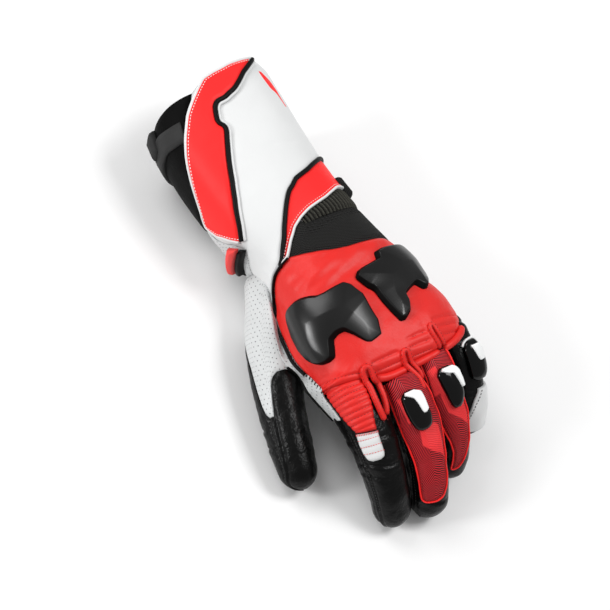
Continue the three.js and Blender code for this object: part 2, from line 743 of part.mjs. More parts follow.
// Dark rubber band of the closure, from under the flap round the underside of the cuff.
add('closure_band', strip(hand, [
  [-53, 0.106], [-66, 0.098], [-81, 0.085], [-95, 0.077], [-115, 0.075], [-150, 0.08],
  [-200, 0.09],
], 13, { low: RIDE, high: CUFF_LIFT }), RUBBER, 0.8);
add('band_roll', panel(hand, slanted([
  [-98, 0.018, -84, 0.028],
  [-100, 0.045, -84, 0.055],
  [-103, 0.075, -88, 0.083],
]), { low: CUFF_LIFT + RIDE, high: CUFF_LIFT + 4, facet: FINE, dome: 3.5 }), RUBBER, 0.7);

// Wrist strap with its slider and red pull tab, under the end of the flap.
add('wrist_strap', strip(hand, [
  [-110, 0.352], [-130, 0.352], [-160, 0.355], [-190, 0.36],
], 12), BLACK, 0.8);
add('strap_buckle', panel(hand, level([
  [0.322, -122, -110],
  [0.385, -122, -110],
]), { low: 2 * RIDE + OVERLAY, high: 6, facet: FINE }), BLACK, 0.4);
add('strap_pull_tab', panel(hand, level([
  [0.325, -126, -112],
  [0.385, -126, -112],
]), { low: 6 + RIDE, high: 10, facet: FINE }), BRIGHT_RED, 0.6);

// Folded pull loop at the little-finger side of the wrist.
add('pull_loop', panel(hand, level([
  [0.36, 62, 70],
  [0.41, 62, 70],
]), { low: RIDE + OVERLAY + RIDE, high: 7, facet: FINE }), BLACK, 0.9);

// The origin goes under the middle of the glove.
const extent = new THREE.Box3().setFromObject(glove);
const centre = extent.getCenter(new THREE.Vector3());
for (const mesh of glove.children) mesh.geometry.translate(-centre.x, -centre.y, 0);

export default glove;
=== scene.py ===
# %% [markdown]
# # Leather motorcycle glove, left hand
# A long gauntlet lies palm down. The glove is drawn on six lofts: the hand with its cuff, four
# fingers and the thumb. Each leather piece is a fine grid laid on one loft, given by the angle
# round it and the share of the way along it. Angle 0 is the back of the hand, 90 the
# little-finger side, 180 the palm and -90 the thumb side.
#
# The sections of the lofts were set one by one. Many of the outlines below were picked as points
# on the photo, turned into angles and shares by a separate program that projected them onto the
# lofts, and then rounded or moved by hand.

import math

import bpy
import numpy as np
from mathutils import Matrix, Vector, noise
from mathutils.kdtree import KDTree


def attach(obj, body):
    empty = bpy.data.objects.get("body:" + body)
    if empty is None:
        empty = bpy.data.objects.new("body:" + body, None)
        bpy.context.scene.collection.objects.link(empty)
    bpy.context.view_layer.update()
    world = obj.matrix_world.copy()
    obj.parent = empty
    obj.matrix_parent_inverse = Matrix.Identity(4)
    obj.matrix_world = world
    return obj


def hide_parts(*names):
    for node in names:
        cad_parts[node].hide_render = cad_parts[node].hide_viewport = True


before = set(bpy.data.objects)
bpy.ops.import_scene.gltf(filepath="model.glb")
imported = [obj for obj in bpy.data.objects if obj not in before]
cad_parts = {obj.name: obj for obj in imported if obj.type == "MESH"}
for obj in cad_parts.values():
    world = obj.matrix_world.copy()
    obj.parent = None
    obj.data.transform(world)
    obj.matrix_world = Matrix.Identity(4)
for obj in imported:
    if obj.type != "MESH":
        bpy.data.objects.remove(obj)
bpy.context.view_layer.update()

MM = 0.001
WALL = 2.0              # thickness of the leather
CLOTH = 1.5             # thickness of the stretch fabric
RIDE = 0.8              # height of a sewn or fixed piece above the leather
CUFF_LIFT = 2.8         # the closure band holds the cuff this far above the table
LITTLE_SEAM = 98        # angle of the long seam on the little-finger side
LINE_STEP = 0.7         # steps in mm with which a line is filled in
RIM_DROP = 1.4          # how far a ribbon's border goes down into the leather
SLEEVE_DROP = 1.6       # how far a sleeve's open end goes down inside
WEB_RISE = 10.5         # the web by the thumb stands out this far from the hand's side
WEB_ANGLE = 244         # in this direction
WEB_ALONG = 0.88        # most at this place
ORIGIN = np.array([9.414, 10.97, 0.0])

# %% [markdown]
# ## The lofts
# Each row is a section: its middle, its half width, its half height up and down, the exponent
# of its superellipse and the slope of the section. The skin runs on a smooth curve through
# the rows, and a finger ends in a rounded tip for shares from 1 to 2.


# %% The lofts
class Loft:
    def __init__(self, rows, tip=0.0, lift=0.0, roll=0.0, web=None):
        self.rows = np.array([list(row) + [0.0] * (8 - len(row)) for row in rows], float)
        self.rows[:, :3] += ORIGIN
        self.tip = tip
        self.lift = lift
        self.roll = math.radians(roll)
        self.web = web
        middle = self.section(np.linspace(0, 1, 51))[:, :3]
        self.length = float(np.linalg.norm(np.diff(middle, axis=0), axis=1).sum())

    def section(self, share):
        """The sections at an array of shares of the way along."""
        rows = self.rows
        place = np.asarray(share, float) * (len(rows) - 1)
        i = np.clip(np.floor(place), 0, len(rows) - 2).astype(int)
        f = (place - i)[..., None]
        b = rows[i]
        c = rows[i + 1]
        a = np.where((i > 0)[..., None], rows[np.maximum(i - 1, 0)], 2 * b - c)
        last = len(rows) - 1
        d = np.where((i + 2 <= last)[..., None], rows[np.minimum(i + 2, last)], 2 * c - b)
        return 0.5 * (2 * b + (c - a) * f + (2 * a - 5 * b + 4 * c - d) * f**2
                      + (3 * b - a - 3 * c + d) * f**3)

    def skin(self, angle, along, height=0.0):
        """Points in mm at arrays of angles, shares and heights above the leather."""
        angle, along, height = np.broadcast_arrays(
            np.asarray(angle, float), np.asarray(along, float), np.asarray(height, float))
        if self.web is not None:
            height = height + self.web(angle, along)
        barrel = 1 - self.tip / self.length
        turn = np.maximum(along - 1, 0) * np.pi / 2
        rounded = barrel + (1 + height / self.length - barrel) * np.sin(turn)
        share = np.where(along > 1, rounded, along * barrel)
        shrink = np.where(along > 1, np.cos(turn), 1.0)
        at = self.section(share)
        path = self.section(share + 1e-3)[..., :3] - self.section(share - 1e-3)[..., :3]
        path /= np.linalg.norm(path, axis=-1, keepdims=True)
        side = np.cross([0.0, 0.0, 1.0], path)
        side /= np.linalg.norm(side, axis=-1, keepdims=True)
        back = np.cross(path, side)
        cosine = math.cos(self.roll)
        sine = math.sin(self.roll)
        side, back = cosine * side + sine * back, cosine * back - sine * side
        back = back - path * at[..., 7:8]
        s = np.sin(np.radians(angle))
        c = np.cos(np.radians(angle))
        power = 2 / at[..., 6]
        across = (at[..., 3] + height) * shrink * np.sign(s) * np.abs(s) ** power
        depth = np.where(c > 0, at[..., 4], at[..., 5])
        rise = (depth + height) * shrink * np.sign(c) * np.abs(c) ** power
        point = at[..., :3] + side * across[..., None] + back * rise[..., None]
        point[..., 2] = np.maximum(point[..., 2], np.maximum(self.lift - height, 0.05))
        return point

    def slopes(self, angle, along):
        """How the skin runs for one degree round the loft and for one whole length along it."""
        angle = np.asarray(angle, float)
        along = np.asarray(along, float)
        turned = self.skin(angle + 0.5, along) - self.skin(angle - 0.5, along)
        down = (self.skin(angle, along + 0.002) - self.skin(angle, along - 0.002)) / 0.004
        return turned, down

    def shift(self, angle, along, aside):
        """The places that lie aside of a line, by mm over the skin."""
        turned, down = self.slopes(angle, along)
        points = self.skin(angle, along)
        path = np.gradient(points, axis=0)
        normal = np.cross(turned, down)
        across = np.cross(normal, path)
        across /= np.linalg.norm(across, axis=-1, keepdims=True)
        rr = (turned * turned).sum(-1)
        dd = (down * down).sum(-1)
        rd = (turned * down).sum(-1)
        p = (across * turned).sum(-1)
        q = (across * down).sum(-1)
        det = rr * dd - rd * rd
        return (angle + aside * (p * dd - q * rd) / det,
                along + aside * (q * rr - p * rd) / det)


def web_rise(angle, along):
    """The web between thumb and index finger stands out from the side of the hand."""
    off = (angle - WEB_ANGLE + 360 + 180) % 360 - 180
    rise = np.exp(-((off / 30) ** 2))
    return WEB_RISE * rise * np.exp(-(((along - WEB_ALONG) / 0.17) ** 2))


HAND = Loft([
    [-17.5, 134, 39, 44.5, 33, 37, 2.4, 0.35],
    [-16, 95, 39, 45, 32, 37, 2.4, 0.2],
    [-12, 55, 39, 43, 31, 36, 2.4, 0.1],
    [-3.5, 20, 39, 40, 30, 34, 2.4],
    [1, -12, 41, 44.5, 29, 32, 2.5],
    [2, -42, 44, 48, 27, 26, 2.6],
    [7, -65, 46, 51, 24, 21, 2.6],
    [8, -80, 44, 49.5, 19, 16, 2.6],
], lift=CUFF_LIFT, web=web_rise)
INDEX = Loft([
    [-30.5, -62, 46, 16, 14, 14, 3.4],
    [-30.5, -90, 44, 15.5, 15, 14.5, 2.7],
    [-29.5, -117, 36, 13.5, 13.5, 13, 2.4],
    [-28, -139, 22, 12.5, 12.5, 12, 2.2],
    [-26, -156, 3.5, 11, 11, 10, 2.1],
], tip=14)
MIDDLE = Loft([
    [-1, -64, 47, 12.6, 14, 14, 3.4],
    [-0.5, -96, 46, 13, 15, 14.5, 2.7],
    [-0.3, -122, 37, 12.6, 13.5, 13, 2.4],
    [-1.5, -144, 22, 12.2, 12.5, 12, 2.2],
    [-3, -160, 3.5, 11, 11, 10, 2.1],
], tip=14)
RING = Loft([
    [24.6, -62, 47, 12.2, 14, 14, 3.4],
    [25, -92, 45, 12.2, 14.5, 14, 2.7],
    [25, -114, 35, 12, 13, 13, 2.4],
    [23.8, -131, 20, 11.8, 12, 11.5, 2.2],
    [21, -142, 3.5, 10.5, 10.5, 10, 2.1],
], tip=13)
LITTLE = Loft([
    [48.6, -56, 43, 11, 12.5, 13, 3.0],
    [49.7, -80, 41, 11.5, 13.5, 13, 2.7],
    [50, -98, 31, 11.5, 12.5, 12, 2.4],
    [49, -112, 18, 11, 11.5, 11, 2.2],
    [47, -122, 4, 9.5, 10, 9.5, 2.1],
], tip=12)
THUMB = Loft([
    [-32, 2, 24, 19, 18, 20, 2.3],
    [-51, -32, 22, 17, 16, 17, 2.3],
    [-62, -62, 19, 14.5, 14, 14, 2.3],
    [-68.5, -91, 15.5, 13, 12.5, 12.5, 2.2],
    [-72, -116, 10.5, 11, 10.5, 10.5, 2.1],
], tip=15, roll=50)
print("lofts:", [round(loft.length) for loft in (HAND, INDEX, MIDDLE, RING, LITTLE, THUMB)])

# %% [markdown]
# ## Grids, panels and ribbons
# A panel is a grid primitive whose vertices are moved onto a loft. Its edges roll down into
# the seams, and an outer ring of vertices goes down inside as a skirt, so that the leather
# reads as thick. Each vertex keeps its distance to the edge, for the materials' painted shade
# at the seams and on the shells' rims.


# %% Grids, panels and ribbons
def grid_object(name, points, uv, attributes=None, weld=False):
    """A grid primitive with its vertices at the points, given as rows x columns x 3 in mm."""
    rows, columns = points.shape[:2]
    bpy.ops.object.select_all(action="DESELECT")
    bpy.ops.mesh.primitive_grid_add(x_subdivisions=columns - 1, y_subdivisions=rows - 1)
    piece = bpy.context.object
    piece.name = name
    mesh = piece.data
    mesh.name = name
    mesh.vertices.foreach_set("co", (points.reshape(-1, 3) * MM).ravel())
    corners = np.empty(len(mesh.loops), np.int64)
    mesh.loops.foreach_get("vertex_index", corners)
    mesh.uv_layers[0].data.foreach_set("uv", uv.reshape(-1, 2)[corners].ravel())
    for key, values in (attributes or {}).items():
        layer = mesh.attributes.new(key, "FLOAT", "POINT")
        layer.data.foreach_set("value", np.ascontiguousarray(values, float).ravel())
    mesh.update()
    if weld:
        bpy.ops.object.mode_set(mode="EDIT")
        bpy.ops.mesh.select_all(action="SELECT")
        bpy.ops.mesh.remove_doubles(threshold=2e-5)
        bpy.ops.object.mode_set(mode="OBJECT")
    bpy.ops.object.shade_smooth()
    return piece


def measured(points):
    """UV in mm: the distances along the middle row and the middle column."""
    across = np.zeros(points.shape[:2])
    across[:, 1:] = np.cumsum(np.linalg.norm(np.diff(points, axis=1), axis=-1), axis=1)
    across -= across[:, points.shape[1] // 2][:, None]
    down = np.zeros(points.shape[:2])
    down[1:] = np.cumsum(np.linalg.norm(np.diff(points, axis=0), axis=-1), axis=0)
    return np.stack([across, down], -1)


def softened(rows, passes):
    """A dense table with its corners rounded, its ends kept."""
    rows = rows.copy()
    for _ in range(passes):
        rows[1:-1] = (rows[:-2] + 2 * rows[1:-1] + rows[2:]) / 4
    return rows


def dense(loft, rows, spacing, passes=0):
    """The rows of a net, filled in until neighbours are a spacing apart."""
    rows = np.array([list(row) + [0.0] * (5 - len(row)) for row in rows], float)
    filled = [rows[:1]]
    for a, b in zip(rows[:-1], rows[1:]):
        ends = [(a[0], a[1], b[0], b[1]), (a[2], a[3], b[2], b[3])]
        ends.append(((a[0] + a[2]) / 2, (a[1] + a[3]) / 2 + a[4],
                     (b[0] + b[2]) / 2, (b[1] + b[3]) / 2 + b[4]))
        longest = max(np.linalg.norm(loft.skin(p, q) - loft.skin(r, s)) for p, q, r, s in ends)
        steps = max(1, int(round(longest / spacing)))
        share = np.arange(1, steps + 1)[:, None] / steps
        filled.append(a + (b - a) * share)
    return softened(np.concatenate(filled), passes)


def thicken(piece, thickness, lining=0):
    """Gives a sheet its thickness in mm, inwards. Lining is the slot of its inner faces."""
    solid = piece.modifiers.new("thickness", "SOLIDIFY")
    solid.thickness = thickness * MM
    solid.offset = -1
    solid.use_even_offset = False
    solid.material_offset = lining
    bpy.ops.object.modifier_apply(modifier=solid.name)
    return piece


def border_distance(points):
    """Distance in mm of each point of a grid to the grid's border."""
    border = np.concatenate([points[0], points[-1], points[:, 0], points[:, -1]])
    gaps = np.concatenate([
        (points[0][1:] + points[0][:-1]) / 2, (points[-1][1:] + points[-1][:-1]) / 2,
        (points[:, 0][1:] + points[:, 0][:-1]) / 2, (points[:, -1][1:] + points[:, -1][:-1]) / 2])
    border = np.concatenate([border, gaps])
    tree = KDTree(len(border))
    for i, point in enumerate(border):
        tree.insert(point, i)
    tree.balance()
    flat = points.reshape(-1, 3)
    return np.array([tree.find(point)[2] for point in flat]).reshape(points.shape[:2])


def rumple(points, size, seed=0.0):
    """Soft noise from -1 to 1 over points in mm, with the grain size given for x, y, z."""
    size = np.broadcast_to(np.asarray(size, float), 3)
    flat = points.reshape(-1, 3) / size + seed
    values = np.array([noise.noise(Vector(point)) for point in flat])
    return values.reshape(points.shape[:2]) * 2


def panel(name, loft, rows, spacing=1.5, height=0.0, roll=(0.9, 2.0), skirt=1.7, relief=None,
          passes=2, profile=None, thickness=0.0, pleat_shade=None):
    """A leather piece laid on a loft. Relief and profile return heights in mm; the last argument returns
    painted shade, from 0, darkest, to 1.
    """
    rows = dense(loft, rows, spacing, passes)
    middle = loft.skin((rows[:, 0] + rows[:, 2]) / 2, (rows[:, 1] + rows[:, 3]) / 2 + rows[:, 4])
    first = np.linalg.norm(middle - loft.skin(rows[:, 0], rows[:, 1]), axis=1)
    second = np.linalg.norm(middle - loft.skin(rows[:, 2], rows[:, 3]), axis=1)
    columns = max(3, int(round((first + second).max() / spacing)))
    v = np.linspace(0, 1, columns + 1)[None]
    angle = rows[:, :1] + (rows[:, 2:3] - rows[:, :1]) * v
    along = rows[:, 1:2] + (rows[:, 3:4] - rows[:, 1:2]) * v + rows[:, 4:5] * 4 * v * (1 - v)
    points = loft.skin(angle, along, height)
    distance = border_distance(points)
    lift = np.full(angle.shape, float(height))
    if relief is not None:
        lift += relief(angle, along, points)
    if profile is not None:
        lift += profile(distance)
    if roll[0]:
        lift -= roll[0] * np.exp(-((distance / roll[1]) ** 2))
    if not thickness:
        # The skirt is a copy of the border, lower down.
        angle, along, lift, distance = [
            np.pad(values, 1, mode="edge") for values in (angle, along, lift, distance)]
        ring = np.ones(lift.shape, bool)
        ring[1:-1, 1:-1] = False
        lift[ring] -= skirt
    points = loft.skin(angle, along, lift)
    middle = (points.shape[0] // 2, points.shape[1] // 2)
    turned, down = loft.slopes(angle[middle], along[middle])
    here = points[middle]
    facing = np.cross(points[middle[0], middle[1] + 1] - here, points[middle[0] + 1, middle[1]] - here)
    order = slice(None, None, 1 if facing @ np.cross(down, turned) > 0 else -1)
    # The edge distance is for painted shade: the leathers darken near the border, the shells on their rims.
    values = {"edge": distance[order]}
    if pleat_shade is not None:
        values["pleat_shade"] = pleat_shade(angle)[order]
    piece = grid_object(name, points[order], measured(points)[order], values)
    return thicken(piece, thickness, 1) if thickness else piece


def along_line(loft, line, step, aside):
    """Evenly spaced places (angle, along) on a line, rounded at its corners."""
    line = np.array(line, float)
    filled = [line[:1]]
    for a, b in zip(line[:-1], line[1:]):
        steps = max(1, int(np.linalg.norm(loft.skin(*a) - loft.skin(*b)) / LINE_STEP))
        filled.append(a + (b - a) * np.arange(1, steps + 1)[:, None] / steps)
    filled = softened(np.concatenate(filled), 3)
    if aside:
        angle, along = loft.shift(filled[:, 0], filled[:, 1], aside)
        filled = np.stack([angle, along], -1)
    points = loft.skin(filled[:, 0], filled[:, 1])
    travel = np.concatenate([[0], np.cumsum(np.linalg.norm(np.diff(points, axis=0), axis=1))])
    count = max(2, int(round(travel[-1] / step)) + 1)
    places = np.linspace(0, travel[-1], count)
    return np.stack([np.interp(places, travel, filled[:, k]) for k in (0, 1)], -1), places


def ribbon(name, loft, line, profile, step=1.2, height=0.0, aside=0.0, relief=None):
    """A strip along a line. The profile is a list of (sideways, height) in mm."""
    places, travel = along_line(loft, line, step, aside)
    profile = np.array(profile, float)
    drop = [0, RIM_DROP]
    profile = np.concatenate([[profile[0] - drop], profile, [profile[-1] - drop]])
    shifted = [loft.shift(places[:, 0], places[:, 1], offset) for offset in profile[:, 0]]
    angle = np.array([a for a, b in shifted]).T
    along = np.array([b for a, b in shifted]).T
    raised = np.repeat(profile[:, 1][None], len(travel), axis=0)
    lift = height + raised
    if relief is not None:
        lift = lift + relief(angle, along, loft.skin(angle, along))
    ends = ((1, 1), (0, 0))
    angle, along, lift, raised = [np.pad(v, ends, mode="edge") for v in (angle, along, lift, raised)]
    lift[0] = lift[-1] = height - RIM_DROP
    points = loft.skin(angle, along, lift)
    # Painted shade: the edge value is low on the strip's sides and lowest where its border goes down into the
    # leather.
    return grid_object(name, points, measured(points), {"edge": raised + 0.55})


def tube(radius, sides=8):
    """A half-round profile for a cord that lies on the leather."""
    turn = np.linspace(-1.25, 1.25, sides)
    return [(radius * math.sin(t), radius * (math.cos(t) - 0.3)) for t in turn]


def sew(name, seams, length=1.4, radius=0.26, across=False):
    """Short stitches. Each seam is points in mm with the leather's outward normals there."""
    bpy.ops.object.select_all(action="DESELECT")
    bpy.ops.mesh.primitive_uv_sphere_add(segments=6, ring_count=4, radius=1)
    seed = bpy.context.object
    base = np.array([vertex.co for vertex in seed.data.vertices])
    base = base * [radius, radius, length / 2]
    faces = [list(polygon.vertices) for polygon in seed.data.polygons]
    bpy.data.objects.remove(seed)
    vertices = []
    polygons = []
    for points, normals in seams:
        path = np.gradient(points, axis=0)
        path /= np.linalg.norm(path, axis=1)[:, None]
        side = np.cross(normals, path)
        if across:
            path, side = side, -path
        for point, t, s, n in zip(points, path, side, normals):
            start = len(vertices)
            vertices.extend((point + s * x + n * y + t * z) * MM for x, y, z in base)
            polygons.extend([[start + i for i in face] for face in faces])
    mesh = bpy.data.meshes.new(name)
    mesh.from_pydata([tuple(v) for v in vertices], [], polygons)
    mesh.update()
    piece = bpy.data.objects.new(name, mesh)
    bpy.context.scene.collection.objects.link(piece)
    for polygon in mesh.polygons:
        polygon.use_smooth = True
    return piece


def seam_on(loft, line, pitch=2.0, aside=0.0, height=0.1, relief=None):
    """The places of the stitches along a line on the leather."""
    places, travel = along_line(loft, line, pitch, aside)
    angle, along = places[:, 0], places[:, 1]
    lift = np.full(len(angle), float(height))
    if relief is not None:
        lift += relief(angle[:, None], along[:, None], loft.skin(angle, along)[:, None])[:, 0]
    turned, down = loft.slopes(angle, along)
    normal = np.cross(down, turned)
    return loft.skin(angle, along, lift), normal / np.linalg.norm(normal, axis=1)[:, None]


def even_line(points, step):
    """A line in space with rounded corners and even steps."""
    filled = [points[:1]]
    for a, b in zip(points[:-1], points[1:]):
        steps = max(1, int(np.linalg.norm(b - a) / LINE_STEP))
        filled.append(a + (b - a) * np.arange(1, steps + 1)[:, None] / steps)
    filled = softened(np.concatenate(filled), 4)
    travel = np.concatenate([[0], np.cumsum(np.linalg.norm(np.diff(filled, axis=0), axis=1))])
    places = np.linspace(0, travel[-1], max(2, int(round(travel[-1] / step)) + 1))
    return np.stack([np.interp(places, travel, filled[:, k]) for k in range(3)], -1), places


def frames_of(points):
    """Directions sideways and upwards at each point of a line in space."""
    path = np.gradient(points, axis=0)
    path /= np.linalg.norm(path, axis=1)[:, None]
    side = np.cross(path, [-0.2, 0.0, 1.0])
    side /= np.linalg.norm(side, axis=1)[:, None]
    return side, np.cross(side, path)


def round_tube(name, points, radius, sides=14):
    """A round tube along points in space, closed at both ends."""
    points, travel = even_line(points, 0.8)
    side, up = frames_of(points)
    near = np.clip(np.minimum(travel, travel[-1] - travel) / (1.2 * radius), 0, 1)
    girth = radius * np.sqrt(1 - (1 - near) ** 2)
    girth[[0, -1]] = 0
    turn = np.linspace(0, 2 * np.pi, sides + 1)
    ring = side[:, None] * np.cos(turn)[None, :, None] + up[:, None] * np.sin(turn)[None, :, None]
    grid = points[:, None] + ring * girth[:, None, None]
    middle = len(points) // 2
    facing = np.cross(grid[middle, 1] - grid[middle, 0], grid[middle + 1, 0] - grid[middle, 0])
    order = slice(None, None, 1 if facing @ ring[middle, 0] > 0 else -1)
    # Painted shade: the edge value falls from the tube's top to its underside, where it lies on the leather.
    edge = np.repeat((np.sin(turn) * 0.9 + 0.9)[None], len(points), axis=0)
    return grid_object(name, grid[order], measured(grid)[order], {"edge": edge[order]}, weld=True)


def sleeve(name, loft, start, end=None, spacing=1.5, relief=None):
    """A finger from its open base to its rounded tip. Start and end give the places of its
    edges by angle."""
    girth = 2 * np.pi * loft.rows[:, 3].max()
    columns = int(girth / spacing)
    angle = np.linspace(-180, 180, columns + 1)
    barrel = loft.length - loft.tip
    rows = int(barrel / spacing)
    share = np.linspace(0, 1, rows + 1)[:, None]
    first = start(angle)[None]
    last = np.ones_like(first) if end is None else end(angle)[None]
    along = first + (last - first) * share
    if end is None:
        caps = int(loft.tip * 1.4 / spacing)
        along = np.concatenate([along, np.repeat(
            (1 + np.linspace(0, 0.999, caps + 1)[1:])[:, None], columns + 1, axis=1)])
    angle = np.repeat(angle[None], len(along), axis=0)
    points = loft.skin(angle, along)
    travel = (along - first) * barrel
    distance = travel if end is None else np.minimum(travel, (last - along) * barrel)
    lift = -0.8 * np.exp(-((distance / 2) ** 2))
    if relief is not None:
        lift += relief(angle, along, points)
    rings = ((1, 0 if end is None else 1), (0, 0))
    angle, along, lift, distance = [
        np.pad(values, rings, mode="edge") for values in (angle, along, lift, distance)]
    lift[0] -= SLEEVE_DROP
    if end is not None:
        lift[-1] -= SLEEVE_DROP
    points = loft.skin(angle, along, lift)
    # The edge distance gives painted shade where the open ends go down into the hand or a seam.
    return grid_object(name, points[::-1], measured(points)[::-1], {"edge": distance[::-1]}, weld=True)


def round_line(rows):
    """A line round a loft, by angle, joined up evenly between a few places."""
    rows = np.array(rows, float)
    angles = np.concatenate([rows[:, 0] - 360, rows[:, 0], rows[:, 0] + 360])
    shares = np.tile(rows[:, 1], 3)
    return lambda angle: np.interp(angle, angles, shares)


def window(value, low, high, soft):
    """1 between low and high, falling to 0 over a soft border."""
    rise = np.clip((value - low) / soft + 0.5, 0, 1)
    fall = np.clip((high - value) / soft + 0.5, 0, 1)
    edge = np.minimum(rise, fall)
    return edge * edge * (3 - 2 * edge)


def smooth_step(value, start, end):
    """0 before the start and 1 after the end, with a smooth rise between them."""
    share = np.clip((value - start) / (end - start), 0, 1)
    return share * share * (3 - 2 * share)


def puffs(value, pitch, power=0.5):
    """Rounded ribs between sharp valleys, from -1 to 0."""
    return np.abs(np.sin(np.pi * value / pitch)) ** power - 1


print("drawing tools ready")

# %% [markdown]
# ## Materials
# The leather's grain, the perforations and the knit are node groups that give a height and a
# tone. Each material bumps and tints its own Principled BSDF with them; the knit's tint is
# painted light and shade.


# %% Materials
def tone(code):
    """A linear colour from an sRGB code."""
    parts = [int(code[i:i + 2], 16) / 255 for i in (1, 3, 5)]
    return tuple(((c + 0.055) / 1.055) ** 2.4 if c > 0.04 else c / 12.92 for c in parts) + (1.0,)


def shade(color, factor):
    """The colour made lighter or darker by a factor."""
    return tuple(min(1.0, c * factor) for c in color[:3]) + (1.0,)


def node(tree, kind, values=None, links=None, **settings):
    """Adds a node, sets its values and joins its inputs."""
    made = tree.nodes.new(kind)
    for key, value in settings.items():
        setattr(made, key, value)
    for key, value in (values or {}).items():
        made.inputs[key].default_value = value
    for key, socket in (links or {}).items():
        tree.links.new(socket, made.inputs[key])
    return made


def calc(tree, operation, first, second=0.0, third=None):
    """A math node. Numbers are set on it and sockets are joined to it."""
    made = tree.nodes.new("ShaderNodeMath")
    made.operation = operation
    for i, value in enumerate([first, second] + ([] if third is None else [third])):
        if isinstance(value, bpy.types.NodeSocket):
            tree.links.new(value, made.inputs[i])
        else:
            made.inputs[i].default_value = value
    return made.outputs[0]


def new_group(name, inputs, outputs):
    """An empty node group with float sockets."""
    group = bpy.data.node_groups.new(name, "ShaderNodeTree")
    for key, value in inputs.items():
        socket = group.interface.new_socket(name=key, in_out="INPUT", socket_type="NodeSocketFloat")
        socket.default_value = value
    for key in outputs:
        group.interface.new_socket(name=key, in_out="OUTPUT", socket_type="NodeSocketFloat")
    return group, group.nodes.new("NodeGroupInput"), group.nodes.new("NodeGroupOutput")


def grain_group():
    """Pebbled leather: cells of a size in mm, softened, with larger cloudy tones."""
    group, given, result = new_group("leather_grain", {"Cell": 0.9}, ["Height", "Tone"])
    place = node(group, "ShaderNodeTexCoord").outputs["Object"]
    fine = calc(group, "DIVIDE", 1000.0, given.outputs["Cell"])
    cells = node(group, "ShaderNodeTexVoronoi", {"Randomness": 0.9},
                 {"Vector": place, "Scale": fine}, feature="SMOOTH_F1")
    veins = node(group, "ShaderNodeTexNoise", {"Scale": 420.0, "Detail": 4.0}, {"Vector": place})
    cloud = node(group, "ShaderNodeTexNoise", {"Scale": 45.0, "Detail": 3.0}, {"Vector": place})
    height = calc(group, "MULTIPLY_ADD", cells.outputs["Distance"], -0.7, veins.outputs["Fac"])
    group.links.new(height, result.inputs["Height"])
    group.links.new(cloud.outputs["Fac"], result.inputs["Tone"])
    return group


def dots_group():
    """Perforations in a staggered pattern, from the UV map in mm: 1 in a hole."""
    group, given, result = new_group("perforations", {"Pitch": 3.5, "Radius": 0.5}, ["Hole"])
    uv = node(group, "ShaderNodeUVMap", uv_map="UVMap").outputs["UV"]
    split = node(group, "ShaderNodeSeparateXYZ", links={"Vector": uv})
    u = calc(group, "DIVIDE", split.outputs["X"], given.outputs["Pitch"])
    v = calc(group, "DIVIDE", split.outputs["Y"], calc(group, "MULTIPLY", given.outputs["Pitch"], 0.87))
    odd = calc(group, "MULTIPLY", calc(group, "PINGPONG", calc(group, "FLOOR", v), 1.0), 0.5)
    x = calc(group, "SUBTRACT", calc(group, "FRACT", calc(group, "ADD", u, odd)), 0.5)
    y = calc(group, "SUBTRACT", calc(group, "FRACT", v), 0.5)
    x = calc(group, "MULTIPLY", x, given.outputs["Pitch"])
    y = calc(group, "MULTIPLY", calc(group, "MULTIPLY", y, given.outputs["Pitch"]), 0.87)
    squares = [calc(group, "POWER", x, 2.0), calc(group, "POWER", y, 2.0)]
    away = calc(group, "SQRT", calc(group, "ADD", *squares))
    inside = node(group, "ShaderNodeMapRange", {"To Min": 1.0, "To Max": 0.0, "From Min": 0.2},
                  {"Value": away, "From Max": given.outputs["Radius"]})
    group.links.new(inside.outputs["Result"], result.inputs["Hole"])
    return group


def knit_group():
    """Fine knit ribs with a slight slant, from the UV map in mm."""
    group, given, result = new_group("knit", {"Pitch": 1.3}, ["Height"])
    uv = node(group, "ShaderNodeUVMap", uv_map="UVMap").outputs["UV"]
    split = node(group, "ShaderNodeSeparateXYZ", links={"Vector": uv})
    turn = calc(group, "DIVIDE", 2 * math.pi, given.outputs["Pitch"])
    slant = calc(group, "MULTIPLY_ADD", split.outputs["Y"], 0.35, split.outputs["X"])
    lines = calc(group, "SINE", calc(group, "MULTIPLY", slant, turn))
    slower = calc(group, "MULTIPLY", turn, 0.9)
    cross = calc(group, "SINE", calc(group, "MULTIPLY", split.outputs["Y"], slower))
    group.links.new(calc(group, "MULTIPLY_ADD", cross, 0.4, lines), result.inputs["Height"])
    return group


GRAIN = grain_group()
DOTS = dots_group()
KNIT = knit_group()


def new_material(name, color, roughness, **values):
    made = bpy.data.materials.new(name)
    made.use_nodes = True
    made.diffuse_color = color
    shader = made.node_tree.nodes["Principled BSDF"]
    shader.inputs["Base Color"].default_value = color
    shader.inputs["Roughness"].default_value = roughness
    for key, value in values.items():
        shader.inputs[key.replace("_", " ")].default_value = value
    return made, made.node_tree, shader


